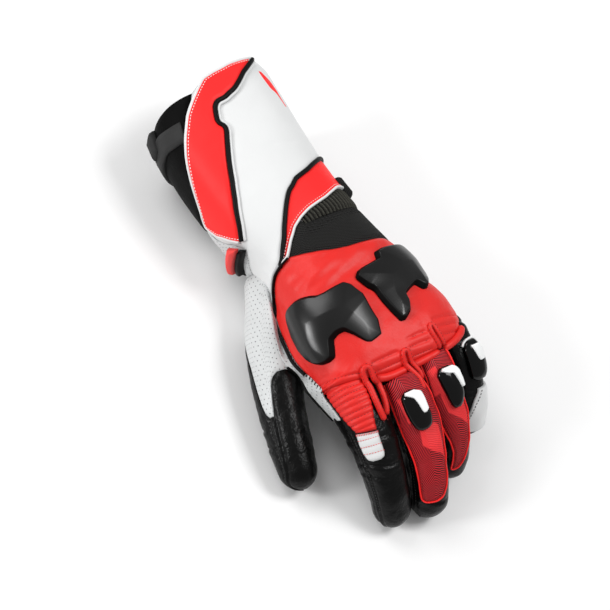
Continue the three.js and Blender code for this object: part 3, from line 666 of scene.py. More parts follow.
def leather(name, code, roughness, cell=0.9, depth=0.25, spread=0.08, seam=0.55, **values):
    """Grained leather, with painted shade where its edge goes down into a seam or lies under a cord."""
    color = tone(code)
    made, tree, shader = new_material(name, color, roughness, **values)
    grain = node(tree, "ShaderNodeGroup", node_tree=GRAIN)
    grain.inputs["Cell"].default_value = cell
    mixed = node(tree, "ShaderNodeMixRGB", {
        "Color1": shade(color, 1 - spread), "Color2": shade(color, 1 + spread)},
        {"Fac": grain.outputs["Tone"]})
    # Painted shade: where the edge value is low, the colour darkens towards a quarter of itself, by the share
    # given as seam.
    edge = node(tree, "ShaderNodeAttribute", attribute_name="edge")
    dark = node(tree, "ShaderNodeMapRange", {
        "From Min": 0.1, "From Max": 0.9, "To Min": seam, "To Max": 0.0},
        {"Value": edge.outputs["Fac"]})
    seam_shaded = node(tree, "ShaderNodeMixRGB", {"Color2": shade(color, 0.25)}, {
        "Fac": dark.outputs["Result"], "Color1": mixed.outputs["Color"]})
    bump = node(tree, "ShaderNodeBump", {"Strength": depth, "Distance": 0.0006},
                {"Height": grain.outputs["Height"]})
    tree.links.new(seam_shaded.outputs["Color"], shader.inputs["Base Color"])
    tree.links.new(bump.outputs["Normal"], shader.inputs["Normal"])
    return made, tree, shader, seam_shaded, bump


def perforated(name, code, roughness):
    made, tree, shader, seam_shaded, bump = leather(name, code, roughness, depth=0.2)
    dots = node(tree, "ShaderNodeGroup", node_tree=DOTS)
    holes = node(tree, "ShaderNodeMixRGB", {"Color2": tone("#505153")}, {
        "Fac": dots.outputs["Hole"], "Color1": seam_shaded.outputs["Color"]})
    tree.links.new(holes.outputs["Color"], shader.inputs["Base Color"])
    pits = node(tree, "ShaderNodeBump", {"Strength": 0.6, "Distance": 0.0005}, {
        "Height": dots.outputs["Hole"], "Normal": bump.outputs["Normal"]}, invert=True)
    tree.links.new(pits.outputs["Normal"], shader.inputs["Normal"])
    return made


def knitted(name, code, pitch, pleated=False):
    """Knitted cloth, with painted shade in the knit's grooves and painted light on its raised lines. When
    pleated, it also has painted shade in the valleys of its folds.
    """
    color = tone(code)
    made, tree, shader = new_material(name, color, 0.85)
    shader.inputs["Specular IOR Level"].default_value = 0.25
    knit = node(tree, "ShaderNodeGroup", node_tree=KNIT)
    knit.inputs["Pitch"].default_value = pitch
    # Painted light and shade: the colour follows the knit's height, half as bright in its grooves and 1.8
    # times as bright on its raised lines.
    level = node(tree, "ShaderNodeMapRange", {"From Min": -1.4, "From Max": 1.4},
                 {"Value": knit.outputs["Height"]})
    mixed = node(tree, "ShaderNodeMixRGB", {
        "Color1": shade(color, 0.5), "Color2": shade(color, 1.8)},
        {"Fac": level.outputs["Result"]})
    bump = node(tree, "ShaderNodeBump", {"Strength": 0.7, "Distance": 0.0005},
                {"Height": knit.outputs["Height"]})
    tree.links.new(mixed.outputs["Color"], shader.inputs["Base Color"])
    tree.links.new(bump.outputs["Normal"], shader.inputs["Normal"])
    if pleated:
        # Painted shade: near black in the valleys of the folds, none on their crests.
        pleat_shade = node(tree, "ShaderNodeAttribute", attribute_name="pleat_shade")
        valley_shade = node(tree, "ShaderNodeMixRGB", {"Color1": tone("#020202")}, {
            "Fac": pleat_shade.outputs["Fac"], "Color2": mixed.outputs["Color"]})
        tree.links.new(valley_shade.outputs["Color"], shader.inputs["Base Color"])
    return made


def between(tree, value, low, high, soft):
    """1 where a socket's value lies between low and high."""
    rise = node(tree, "ShaderNodeMapRange", {"From Min": low - soft, "From Max": low + soft},
                {"Value": value})
    fall = node(tree, "ShaderNodeMapRange", {
        "From Min": high - soft, "From Max": high + soft, "To Min": 1.0, "To Max": 0.0},
        {"Value": value})
    return calc(tree, "MULTIPLY", rise.outputs["Result"], fall.outputs["Result"])


def moulded(name, code, roughness, rim):
    """Smooth plastic, duller and less glossy on its bevelled rim, whose width is given in mm, with painted
    shade that colours the rim near black.
    """
    made, tree, shader = new_material(name, tone(code), roughness)
    edge = node(tree, "ShaderNodeAttribute", attribute_name="edge")
    top = node(tree, "ShaderNodeMapRange", {"From Min": rim - 0.3, "From Max": rim + 0.3},
               {"Value": edge.outputs["Fac"]})
    # Painted shade: the bevelled rim is coloured near black.
    mixed = node(tree, "ShaderNodeMixRGB", {"Color1": tone("#060606"), "Color2": tone(code)},
                 {"Fac": top.outputs["Result"]})
    dull = node(tree, "ShaderNodeMapRange", {"To Min": 0.6, "To Max": roughness},
                {"Value": top.outputs["Result"]})
    tree.links.new(mixed.outputs["Color"], shader.inputs["Base Color"])
    tree.links.new(dull.outputs["Result"], shader.inputs["Roughness"])
    gloss = node(tree, "ShaderNodeMapRange", {"To Min": 0.08, "To Max": 0.42},
                 {"Value": top.outputs["Result"]})
    tree.links.new(gloss.outputs["Result"], shader.inputs["Specular IOR Level"])
    return made


def printed(name, sooner):
    """Fine lines of black and dark red with plain red areas beside and below the slider."""
    made, tree, shader = new_material(name, tone("#8a1f28"), 0.42)
    shader.inputs["Specular IOR Level"].default_value = 0.15
    uv = node(tree, "ShaderNodeUVMap", uv_map="UVMap").outputs["UV"]
    split = node(tree, "ShaderNodeSeparateXYZ", links={"Vector": uv})
    across, down = split.outputs["X"], split.outputs["Y"]
    warp = node(tree, "ShaderNodeTexNoise", {"Scale": 0.06, "Detail": 0.0}, {"Vector": uv})
    bent = calc(tree, "MULTIPLY", calc(tree, "ABSOLUTE", calc(tree, "SUBTRACT", across, 1.0)), -0.7)
    field = calc(tree, "ADD", calc(tree, "MULTIPLY_ADD", warp.outputs["Fac"], 9.0, down), bent)
    lines = calc(tree, "SINE", calc(tree, "MULTIPLY", field, 2 * math.pi / 1.35))
    fac = node(tree, "ShaderNodeMapRange", {"From Min": -0.5, "From Max": 0.5}, {"Value": lines})
    hatch = node(tree, "ShaderNodeMixRGB", {
        "Color1": tone("#2c0a10"), "Color2": tone("#cc2a31")}, {"Fac": fac.outputs["Result"]})
    bright = node(tree, "ShaderNodeMixRGB", {
        "Color1": tone("#dd3237"), "Color2": tone("#f43c3e")}, {"Fac": fac.outputs["Result"]})
    drift = calc(tree, "MULTIPLY_ADD", warp.outputs["Fac"], 5.0, across)
    beside = calc(tree, "MULTIPLY", between(tree, drift, -5.0, 1.5, 0.4),
                  between(tree, down, 14.0 - sooner, 30.0 - sooner, 0.6))
    slant = calc(tree, "MULTIPLY_ADD", across, -1.2, down)
    below = calc(tree, "MULTIPLY", between(tree, drift, 0.0, 13.0, 0.4),
                 between(tree, slant, 28.0 - sooner, 49.0 - 1.6 * sooner, 0.6))
    plain = calc(tree, "MAXIMUM", beside, below)
    ground = node(tree, "ShaderNodeMixRGB", links={
        "Fac": plain, "Color1": hatch.outputs["Color"], "Color2": bright.outputs["Color"]})
    bump = node(tree, "ShaderNodeBump", {"Strength": 0.25, "Distance": 0.0004}, {"Height": lines})
    tree.links.new(ground.outputs["Color"], shader.inputs["Base Color"])
    tree.links.new(bump.outputs["Normal"], shader.inputs["Normal"])
    return made


M = {
    "red": leather("red_leather", "#d9241f", 0.44, depth=0.22, Specular_IOR_Level=0.3)[0],
    "flap": leather("flap_leather", "#fc2828", 0.48, depth=0.12, spread=0.03, seam=0.2,
                    Specular_IOR_Level=0.2)[0],
    "white": leather("white_leather", "#dcdddd", 0.5, depth=0.12, spread=0.03, seam=0.35,
                     Specular_IOR_Level=0.3)[0],
    # Painted shade: the back's white binding is coloured grey.
    "binding": leather("white_binding_painted_shade", "#aeafb0", 0.5, depth=0.1, seam=0.2, Specular_IOR_Level=0.2)[0],
    "perforated": perforated("perforated_leather", "#c9cbcb", 0.5),
    "black": leather("black_leather", "#0a0a0a", 0.29, cell=1.0, depth=0.4, spread=0.25,
                     Specular_IOR_Level=0.14)[0],
    "underside": leather("black_underside", "#070707", 0.55, spread=0.2, Specular_IOR_Level=0.05)[0],
    "piping": leather("piping", "#0c0c0c", 0.5, depth=0.15, Specular_IOR_Level=0.12)[0],
    "knit": knitted("stretch_fabric", "#1c1c1b", 1.3),
    "ribs": knitted("rib_fabric", "#44433c", 0.8, pleated=True),
    "print": printed("printed_overlay", 0.0),
    "print_short": printed("printed_overlay_short", 5.0),
    "shell": moulded("hard_shell", "#0b0b0b", 0.28, 2.2),
    "shell_small": moulded("hard_shell_small", "#080808", 0.25, 1.5),
    "gloss": new_material("slider_shell", tone("#060606"), 0.12, Specular_IOR_Level=0.25)[0],
    "insert": new_material("slider_insert", tone("#f2f3f3"), 0.22)[0],
    "plastic": new_material("buckle_plastic", tone("#080808"), 0.45, Specular_IOR_Level=0.12)[0],
    "rubber": leather("closure_rubber", "#2b2b2b", 0.62, cell=0.5, depth=0.15, seam=0.3,
                      Specular_IOR_Level=0.2)[0],
    "tab": leather("pull_tab", "#ec3b38", 0.55, cell=0.6, depth=0.2)[0],
    "lining": knitted("lining", "#161616", 0.9),
    "black_thread": new_material("black_thread", tone("#1b1616"), 0.6)[0],
    "dark_thread": new_material("dark_thread", tone("#6e1418"), 0.6)[0],
    "red_thread": new_material("red_thread", tone("#e0353a"), 0.6)[0],
    "white_thread": new_material("white_thread", tone("#f4f4f4"), 0.6)[0],
    "grey_thread": new_material("grey_thread", tone("#8f9092"), 0.6)[0],
    "soft_thread": new_material("soft_thread", tone("#3a3a39"), 0.6)[0],
    "pink_thread": new_material("pink_thread", tone("#f6b5b2"), 0.6)[0],
}


def finished(piece, paint, *nodes):
    """Gives the piece its material, puts it under the root body and hides the CAD pieces that it stands for.
    """
    piece.data.materials.clear()
    piece.data.materials.append(M[paint])
    if any(polygon.material_index for polygon in piece.data.polygons):
        piece.data.materials.append(M["lining"])
    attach(piece, "root")
    if nodes:
        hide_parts(*nodes)
    print(piece.name, len(piece.data.polygons), "faces")
    return piece


# %% [markdown]
# ## The hand's leather
# White leather covers the cuff and goes down the thumb side. Ribs are stitched across the
# fingers' roots, where the leather must stretch, and it is drawn up over the index finger's
# root and down between the others.

# %% The hand's leather
def leather_rumple(amount, size, seed=0.0):
    """Slight unevenness of leather, as a relief."""
    return lambda angle, along, points: amount * rumple(points, size, seed)


def rib_count(angle, points):
    """Counts the ribs towards the fingertips. They are finer and slanted over the index finger."""
    x = points[..., 0] - ORIGIN[0]
    y = points[..., 1] - ORIGIN[1]
    return np.where(angle < -33, -(y + 0.3 * np.minimum(x + 24, 0)) / 3.7, -y / 5.3)


def rib_zone(angle, along):
    """1 where ribs are stitched across the roots of the fingers."""
    starts = np.interp(angle, [-80, -57, -41, -40, -14, 2, 13, 22, 42],
                       [0.79, 0.845, 0.885, 0.895, 0.885, 0.875, 0.86, 0.862, 0.862])
    slots = window(angle, -41, -27, 3) + window(angle, -6, 0, 1.5) + window(angle, 12, 20, 2)
    return smooth_step(along, starts - 0.012, starts + 0.012) * (1 - np.clip(slots, 0, 1)) \
        * smooth_step(angle, -98, -90) * smooth_step(-angle, -75, -60)


def side_rise(angle, along):
    """The back's edge stands out a little on the thumb side."""
    return 3.0 * smooth_step(-np.asarray(angle), 86, 95) * window(along, 0.56, 0.735, 0.06)


def back_relief(angle, along, points):
    ribs = 1.05 * puffs(rib_count(angle, points), 1, 0.6) * rib_zone(angle, along)
    root = np.interp(angle, [-104, -92, -88, -76, -66, -57, -48, -42, -36],
                     [0, 1.5, 2.5, 5.0, 5.5, 3.8, 2.0, 0.8, 0]) * smooth_step(along, 0.78, 0.90)
    droop = -1.2 * smooth_step(angle, -38, -24) * np.exp(-((
        (hand_end(angle) - along) * HAND.length / 4.0) ** 2))
    soft = 0.5 * rumple(points, (26, 17, 26), 3.0) + 0.14 * rumple(points, 7, 8.0)
    x = points[..., 0]
    slanted = np.stack([(x + points[..., 1]) / 30, (points[..., 1] - 0.4 * x) / 6, x * 0], -1)
    folds = 0.7 * rumple(slanted, 1, 4.4) * window(along, 0.50, 0.62, 0.08) * window(angle, -60, 30, 40)
    return ribs + root + droop + soft + folds + side_rise(angle, along)


hand_end = round_line([
    [-88, 0.90], [-70, 0.925], [-44, 0.95], [-25, 0.98], [-13, 1], [8, 1], [20, 0.985],
    [36, 0.955], [55, 0.925], [76, 0.90], [98, 0.88], [140, 0.92], [175, 0.94], [215, 0.935],
])


def cuff_relief(angle, along, points):
    crease = np.exp(-(((along - 0.215 - 0.0006 * angle) * HAND.length / 1.2) ** 2))
    crease = 0.35 * crease * window(angle, 5, 30, 12)
    return 0.45 * rumple(points, (38, 60, 38), 1.0) + 0.07 * rumple(points, 9, 2.0) - crease


def palm_relief(angle, along, points):
    fold = 6.0 * np.exp(-(((angle - 240) / 13) ** 2) - ((along - 0.425) * HAND.length / 7) ** 2)
    return fold - 0.5 + 0.5 * rumple(points, 24, 5.0) + 0.2 * rumple(points, 8, 6.0)


finished(panel("cuff_upper_leather", HAND, [
    [-25, 0.05, LITTLE_SEAM, 0.06, -0.045], [-40, 0.10, LITTLE_SEAM, 0.10, -0.02],
    [-50, 0.14, LITTLE_SEAM, 0.16], [-65, 0.185, LITTLE_SEAM, 0.22],
    [-88, 0.225, LITTLE_SEAM, 0.27], [-112, 0.25, 56, 0.281], [-102, 0.29, 22, 0.306],
    [-88, 0.325, 6, 0.312], [-80, 0.351, -3, 0.328], [-92, 0.376, -14, 0.353],
    [-105, 0.411, -28, 0.386], [-110, 0.469, -52, 0.456], [-110, 0.485, -58, 0.468],
    [-110, 0.505, -70, 0.476], [-109, 0.52, -79, 0.490], [-107, 0.55, -93, 0.517],
], thickness=WALL, relief=cuff_relief), "white", "cuff_upper_panel")
finished(panel("cuff_red_inlay", HAND, [
    [36, 0.042, 41, 0.042], [35.5, 0.068, 50, 0.066], [38, 0.092, 52, 0.092],
    [44, 0.100, 50, 0.100], [47.5, 0.14, 52, 0.14],
], height=0.1, roll=(0.3, 0.5), skirt=0.5, relief=cuff_relief), "flap")
finished(panel("cuff_lower_leather", HAND, [
    [LITTLE_SEAM, 0.06, 335, 0.05, -0.02], [LITTLE_SEAM, 0.10, 320, 0.10],
    [LITTLE_SEAM, 0.16, 310, 0.14], [LITTLE_SEAM, 0.20, 295, 0.185],
    [LITTLE_SEAM, 0.24, 272, 0.225], [LITTLE_SEAM, 0.27, 248, 0.25],
], thickness=WALL, relief=cuff_relief), "underside", "cuff_lower_panel")
finished(panel("wedge_leather", HAND, [
    [LITTLE_SEAM, 0.27, LITTLE_SEAM, 0.395], [56, 0.281, 61, 0.384], [22, 0.306, 42, 0.379],
    [6, 0.312, 17, 0.387], [-3, 0.328, 0, 0.387], [-14, 0.353, -10, 0.393],
    [-28, 0.386, -20, 0.404], [-42, 0.425, -31, 0.429], [-52, 0.456, -45, 0.462],
], thickness=WALL, relief=cuff_relief), "flap", "wrist_wedge")

PLEAT = 2.9
round_angles = np.linspace(-60, 110, 341)
round_points = HAND.skin(round_angles, 0.42)
round_travel = np.concatenate([[0], np.cumsum(np.linalg.norm(np.diff(round_points, axis=0), axis=1))])


def pleats(angle, power):
    """Upright folds of one width, counted round the wrist in mm."""
    return puffs(np.interp(angle, round_angles, round_travel), PLEAT, power)


def rib_relief(angle, along, points):
    fade = window(along, 0.375, 0.452, 0.02)
    return (1.9 * pleats(angle, 0.9) + 0.4) * (0.35 + 0.65 * fade)


def knit_relief(angle, along, points):
    top = window(along, 0.38, 0.452, 0.02) * window(angle, -14, 99, 4)
    return 0.9 * pleats(angle, 0.8) * top + 0.45 * rumple(points, (30, 12, 30), 4.0)


def rib_painted_shade(angle):
    """Painted light and shade: 1 on the crests of the ribs, falling to 0, darkest, in their valleys."""
    return (1 + pleats(angle, 0.9)) ** 1.8


finished(panel("rib_fabric", HAND, [
    [LITTLE_SEAM, 0.395, LITTLE_SEAM, 0.445], [61, 0.384, 61, 0.435], [42, 0.379, 36, 0.432],
    [17, 0.387, 10, 0.424], [0, 0.387, 0, 0.418], [-10, 0.393, -10, 0.412],
], spacing=0.5, thickness=CLOTH, relief=rib_relief, pleat_shade=rib_painted_shade), "ribs", "wrist_ribs")
finished(panel("knit_fabric", HAND, [
    [LITTLE_SEAM, 0.445, LITTLE_SEAM, 0.58], [61, 0.435, 62, 0.56], [36, 0.432, 53, 0.549],
    [10, 0.424, 20, 0.540], [0, 0.418, 3, 0.532], [-10, 0.412, -18, 0.499], [-11.5, 0.397, -20, 0.497],
    [-20, 0.404, -30, 0.482], [-31, 0.429, -38, 0.472], [-45, 0.462, -45, 0.464],
], spacing=0.8, thickness=CLOTH, height=-0.3, relief=knit_relief), "knit", "wrist_knit")
RED_EDGE = [
    [-79, 0.490], [-87, 0.508], [-93, 0.535], [-96, 0.575], [-97, 0.62], [-97, 0.66],
    [-96.5, 0.71], [-95, 0.745], [-92, 0.775], [-90, 0.82], [-88, 0.90],
]
finished(panel("back_leather", HAND, [
    [-97, 0.61, -97, 0.66], [-96, 0.575, -96.5, 0.71], [-93, 0.535, -95, 0.745],
    [-90, 0.520, -92, 0.775], [-87, 0.508, -90, 0.82], [-86, 0.504, -88, 0.90],
    [-83, 0.498, -83, 0.91], [-79, 0.490, -78, 0.915], [-70, 0.476, -70, 0.925],
    [-58, 0.468, -56, 0.94], [-45, 0.464, -44, 0.95], [-38, 0.472, -34, 0.965],
    [-30, 0.482, -25, 0.98], [-18, 0.499, -13, 1.0], [3, 0.532, 8, 1.0], [20, 0.540, 20, 0.985],
    [53, 0.549, 36, 0.955], [62, 0.56, 55, 0.925], [80, 0.57, 76, 0.9],
    [LITTLE_SEAM, 0.58, LITTLE_SEAM, 0.88],
], spacing=0.8, thickness=WALL, relief=back_relief, roll=(0.7, 1.2)), "red", "back_panel")
finished(panel("palm_leather", HAND, [
    [LITTLE_SEAM, 0.27, 248, 0.25], [LITTLE_SEAM, 0.30, 258, 0.29],
    [LITTLE_SEAM, 0.33, 272, 0.325], [LITTLE_SEAM, 0.36, 280, 0.351],
    [LITTLE_SEAM, 0.385, 268, 0.376], [LITTLE_SEAM, 0.42, 255, 0.411],
    [LITTLE_SEAM, 0.47, 250, 0.469], [LITTLE_SEAM, 0.51, 250, 0.505],
    [LITTLE_SEAM, 0.55, 253, 0.55], [LITTLE_SEAM, 0.60, 250, 0.61],
    [LITTLE_SEAM, 0.65, 248, 0.655], [LITTLE_SEAM, 0.69, 248, 0.70],
    [LITTLE_SEAM, 0.71, 254, 0.724], [LITTLE_SEAM, 0.76, 265, 0.762],
    [LITTLE_SEAM, 0.80, 264, 0.785], [LITTLE_SEAM, 0.88, 254, 0.815, 0.06],
], spacing=1.3, thickness=WALL, relief=palm_relief), "perforated", "palm_panel")

# %% [markdown]
# ## Fingers and thumb
# Each finger is one sleeve of black leather that starts inside the hand. Side seams run down
# it, and the leather is creased where the finger bends.


# %% Fingers and thumb
def straight_seam(angle):
    """A seam that keeps to one angle all the way along."""
    return lambda along: angle


def finger_relief(loft, creases, seed, amount=0.3, seams=(straight_seam(-80), straight_seam(72))):
    """Side seams, creases over the joints and small wrinkles across the finger."""
    def relief(angle, along, points):
        turned = (angle + 180) % 360 - 180
        lift = np.zeros(angle.shape)
        for seam in seams:
            off = (turned - seam(along)) * 0.21
            lift += 0.6 * np.exp(-((off / 0.8) ** 2)) - 0.5 * np.exp(-(((np.abs(off) - 1.7) / 0.8) ** 2))
        for place, depth, middle in creases:
            bent = place + 0.025 * np.sin(np.radians(turned - middle) * 2)
            reach = np.exp(-(((turned - middle) / 55) ** 2))
            lift -= depth * reach * np.exp(-(((along - bent) * loft.length / 1.0) ** 2))
            lift += 0.5 * depth * reach * np.exp(-(((along - bent) * loft.length / 2.6 - 1) ** 2))
        wrinkled = amount * rumple(points, (16, 7, 10), seed) + 0.09 * rumple(points, 3.5, seed + 9)
        return lift + wrinkled * np.clip((along - 0.1) * 5, 0, 1)
    return relief


FINGER_STARTS = {
    "index": round_line([[-130, 0.06], [-110, 0.15], [40, 0.15], [60, 0.06]]),
    "middle": round_line([[0, 0.06]]), "ring": round_line([[0, 0.06]]), "little": round_line([[0, 0.06]]),
}
for name, loft, creases, seed in [
    ("index", INDEX, [(0.635, 1.4, -35), (0.70, 0.9, -60), (0.52, 0.5, 40), (0.46, 0.5, -95),
                      (0.36, 0.5, 45)], 1.5),
    ("middle", MIDDLE, [(0.50, 0.6, 60), (0.62, 0.7, -60), (0.42, 0.6, -85), (0.94, 0.8, -20)], 2.5),
    ("ring", RING, [(0.45, 0.6, 60), (0.60, 0.7, -60), (0.36, 0.6, -80)], 3.5),
    ("little", LITTLE, [(0.60, 0.7, -30), (0.70, 0.6, -60), (0.24, 1.2, 20), (0.12, 1.2, 20)], 4.5),
]:
    finished(sleeve(f"{name}_leather", loft, FINGER_STARTS[name], spacing=1.1,
                    relief=finger_relief(loft, creases, seed)), "black", f"{name}_finger")

THUMB_LINE = [[-2, 0.67], [-4, 0.80], [-8, 0.95], [-16, 1.15], [-38, 1.54]]


def thumb_line(along):
    return np.interp(along, [row[1] for row in THUMB_LINE], [row[0] for row in THUMB_LINE])


thumb_seam = round_line([
    [-60, 0.20], [-45, 0.30], [-38, 0.36], [-30, 0.42], [-25, 0.56], [-18, 0.64], [-8, 0.67],
    [2, 0.67], [7, 0.60], [11, 0.50], [18, 0.46], [31, 0.437], [54, 0.428], [80, 0.445],
    [100, 0.46], [130, 0.36], [180, 0.2], [240, 0.14],
])


def gusset_relief(angle, along, points):
    """The gusset goes down below the web, beyond the line where the web is joined to it."""
    joined = np.interp(along, [-0.05, 0.03, 0.12, 0.20, 0.28, 0.36, 0.42], [0, 12, 22, 30, 36, 44, 56])
    under = smooth_step(angle, joined, joined + 10) * smooth_step(-angle, -175, -140)
    return 0.4 * rumple(points, 20, 5.0) - 0.2 - 9 * under * smooth_step(-along, -0.40, -0.30)


finished(sleeve("thumb_gusset_leather", THUMB, lambda angle: np.full(angle.shape, -0.06), thumb_seam,
                spacing=1.0, relief=gusset_relief), "perforated", "thumb_gusset")
finished(sleeve("thumb_leather", THUMB, thumb_seam, spacing=1.0, relief=finger_relief(
    THUMB, [(0.82, 0.7, -60), (0.70, 0.6, -75)], 6.5, 0.15, (thumb_line,))),
    "black", "thumb_shell")

# %% [markdown]
# ## The web
# Perforated leather stretches from the thumb to the red back and on to the side of the index
# finger. It is a sheet between two lines, with its free edge bound in black.


# %% The web
def path_of(*places):
    """Points in mm from places given as (loft, angle, along, height)."""
    return np.array([loft.skin(angle, along, height) for loft, angle, along, height in places])


WEB_WALL = 1.2
WEB_SPACING = 1.2
WEB_OUT = np.array([-0.45, -0.28, 0.85])    # the direction in which the web bulges


def sheet_between(name, first, second, bulge):
    """A leather sheet between two lines in space that have the same number of points. The bulge
    in mm is a function of the share of the way along it."""
    pairs = np.concatenate([first, second], axis=1)
    filled = [pairs[:1]]
    for a, b in zip(pairs[:-1], pairs[1:]):
        steps = max(1, int(max(np.linalg.norm((b - a)[:3]), np.linalg.norm((b - a)[3:])) / WEB_SPACING))
        filled.append(a + (b - a) * np.arange(1, steps + 1)[:, None] / steps)
    pairs = softened(np.concatenate(filled), 8)
    widest = np.linalg.norm(pairs[:, :3] - pairs[:, 3:], axis=1).max()
    v = np.linspace(0, 1, int(widest / WEB_SPACING) + 2)[None, :, None]
    points = pairs[:, None, :3] * (1 - v) + pairs[:, None, 3:] * v
    raised = bulge(np.linspace(0, 1, len(pairs)))[:, None, None]
    points += WEB_OUT * raised * 4 * v * (1 - v)
    here = points[len(points) // 2, 1]
    facing = np.cross(points[len(points) // 2, 2] - here, points[len(points) // 2 + 1, 1] - here)
    order = slice(None, None, 1 if facing[2] > 0 else -1)
    piece = grid_object(name, points[order], measured(points)[order],
                        {"edge": np.full(points.shape[:2], 5.0)})
    return thicken(piece, WEB_WALL)


WEB_RED = path_of(
    (HAND, -100, 0.475, -1), (HAND, -99, 0.51, -3), (HAND, -98, 0.55, -3.6), (HAND, -98, 0.60, -4),
    (HAND, -98, 0.65, -3.6), (HAND, -97.5, 0.70, -2.4), (HAND, -96, 0.73, -1), (HAND, -94, 0.75, 0),
    (HAND, -91, 0.785, 0), (HAND, -89, 0.83, 0), (INDEX, -94, 0.14, 1.0), (INDEX, -90, 0.22, 1.0),
    (INDEX, -84, 0.32, 1.0))
# The last four points were solved for by a separate program, from points on the photo.
WEB_FREE = np.concatenate([path_of(
    (THUMB, 0, -0.05, -0.4), (THUMB, 12, 0.03, -0.4), (THUMB, 22, 0.12, -0.4),
    (THUMB, 30, 0.20, -0.4), (THUMB, 36, 0.28, -0.4), (THUMB, 44, 0.36, -0.4),
    (THUMB, 56, 0.42, -0.2), (THUMB, 76, 0.44, 0.3)),
    np.array([[-49.0, -57.5, 32.0], [-50.8, -65.2, 34.0], [-49.0, -73.5, 34.0],
              [-46.8, -80.7, 34.0], [-44.4, -90.2, 34.6]]) + ORIGIN])


def web_bulge(share):
    """The web is drawn in along its first half."""
    return 0.2 - 3.4 * window(share, 0.1, 0.5, 0.1)


finished(sheet_between("web_leather", WEB_RED, WEB_FREE, web_bulge), "perforated")
finished(round_tube("web_black_edge", WEB_FREE[6:], 0.95), "piping")

# %% [markdown]
# ## The closure
# A red flap covers the thumb side of the cuff. It has a white bound edge with a row of
# stitches, and black piping on its other side. A rubber band runs from under it round the
# underside of the cuff.

# %% The closure
FLAP = [
    [8, 0.026, 33, 0.018], [-11, 0.038, 15, 0.048], [-22, 0.060, 3, 0.076],
    [-32, 0.080, -4, 0.088], [-38, 0.092, -11, 0.090], [-43, 0.106, -15, 0.100],
    [-46, 0.114, -17, 0.112], [-51, 0.126, -19.5, 0.130], [-54, 0.134, -19, 0.141],
    [-57, 0.142, -16.5, 0.149], [-60, 0.150, -17.5, 0.158], [-72, 0.188, -25, 0.192],
    [-90, 0.244, -38, 0.248], [-96, 0.262, -47, 0.278], [-91, 0.294, -62, 0.315],
    [-81, 0.322, -71, 0.332], [-75, 0.336, -73, 0.336],
]
flap_right = [row[2:4] for row in FLAP]
flap_left = [row[2:4] for row in FLAP[:1]] + [row[:2] for row in FLAP]
finished(panel("flap_leather", HAND, FLAP, spacing=1.0, height=RIDE + 1.8, roll=(0.9, 1.3),
               skirt=2.2, relief=cuff_relief, passes=3), "flap", "closure_flap")
finished(ribbon("flap_white_edge", HAND, flap_left,
                [(-0.9, 0), (-0.7, 0.5), (0, 0.8), (0.7, 0.5), (0.9, 0)],
                height=RIDE + 1.0, relief=cuff_relief), "white")
finished(ribbon("flap_black_piping", HAND, flap_right, tube(1.5), height=RIDE + 1.2, aside=-1.3,
                relief=cuff_relief), "piping", "flap_piping")
finished(ribbon("flap_white_piping", HAND, flap_right, tube(0.9), height=RIDE + 0.4, aside=-3.3,
                relief=cuff_relief), "white")
finished(ribbon("closure_rubber_band", HAND, [
    [-50, 0.108], [-66, 0.098], [-81, 0.085], [-95, 0.077], [-115, 0.075], [-150, 0.08], [-200, 0.09],
], [(-6.5, 0), (-6.0, 1.0), (-3, 1.2), (0, 1.2), (3, 1.2), (6.0, 1.0), (6.5, 0)],
    height=RIDE), "rubber", "closure_band")
finished(panel("closure_rubber_roll", HAND, [
    [-98, 0.028, -87, 0.034], [-100, 0.050, -87, 0.056], [-103, 0.074, -90, 0.080],
], spacing=0.6, height=RIDE, roll=(0, 1), skirt=3,
    profile=lambda d: 4.2 * np.sqrt(1 - (1 - np.clip(d / 4.5, 0, 1)) ** 2)), "rubber", "band_roll")
finished(ribbon("wedge_black_piping", HAND, [
    [LITTLE_SEAM, 0.27], [56, 0.281], [22, 0.306], [6, 0.312], [-3, 0.328], [-14, 0.353],
    [-28, 0.386], [-52, 0.456], [-60, 0.470]], tube(1.5), height=0.2,
    relief=cuff_relief), "piping", "wedge_piping")
WEDGE_LOW = [
    [LITTLE_SEAM, 0.395], [61, 0.384], [42, 0.379], [17, 0.387], [0, 0.387], [-10, 0.393],
    [-20, 0.404], [-31, 0.429], [-45, 0.464], [-58, 0.468], [-70, 0.476],
]
finished(ribbon("wedge_white_binding", HAND, WEDGE_LOW, tube(0.8), height=0.5, aside=0.4,
                relief=cuff_relief), "white", "wedge_binding")


def edge_relief(angle, along, points):
    """The trim follows the back's edge, which stands out on the thumb side."""
    return side_rise(angle, along)


finished(ribbon("back_white_binding", HAND, WEDGE_LOW[-2:] + RED_EDGE[:8], tube(0.85),
                height=1.3, aside=1.0, relief=edge_relief), "binding")
finished(ribbon("back_black_piping", HAND, WEDGE_LOW[-3:] + RED_EDGE[:8], tube(0.6), height=1.5, aside=-0.4,
                relief=edge_relief), "piping")
finished(ribbon("wrist_strap_webbing", HAND, [[-108, 0.352], [-130, 0.352], [-160, 0.355], [-190, 0.36]],
                [(-6, 0), (-5.6, 0.8), (0, 0.9), (5.6, 0.8), (6, 0)], height=RIDE), "knit", "wrist_strap")


def swelling(height, reach):
    """A form that rises to a height within a reach of its edge, both in mm."""
    return lambda distance: height * np.clip(distance / reach, 0, 1) ** 0.5


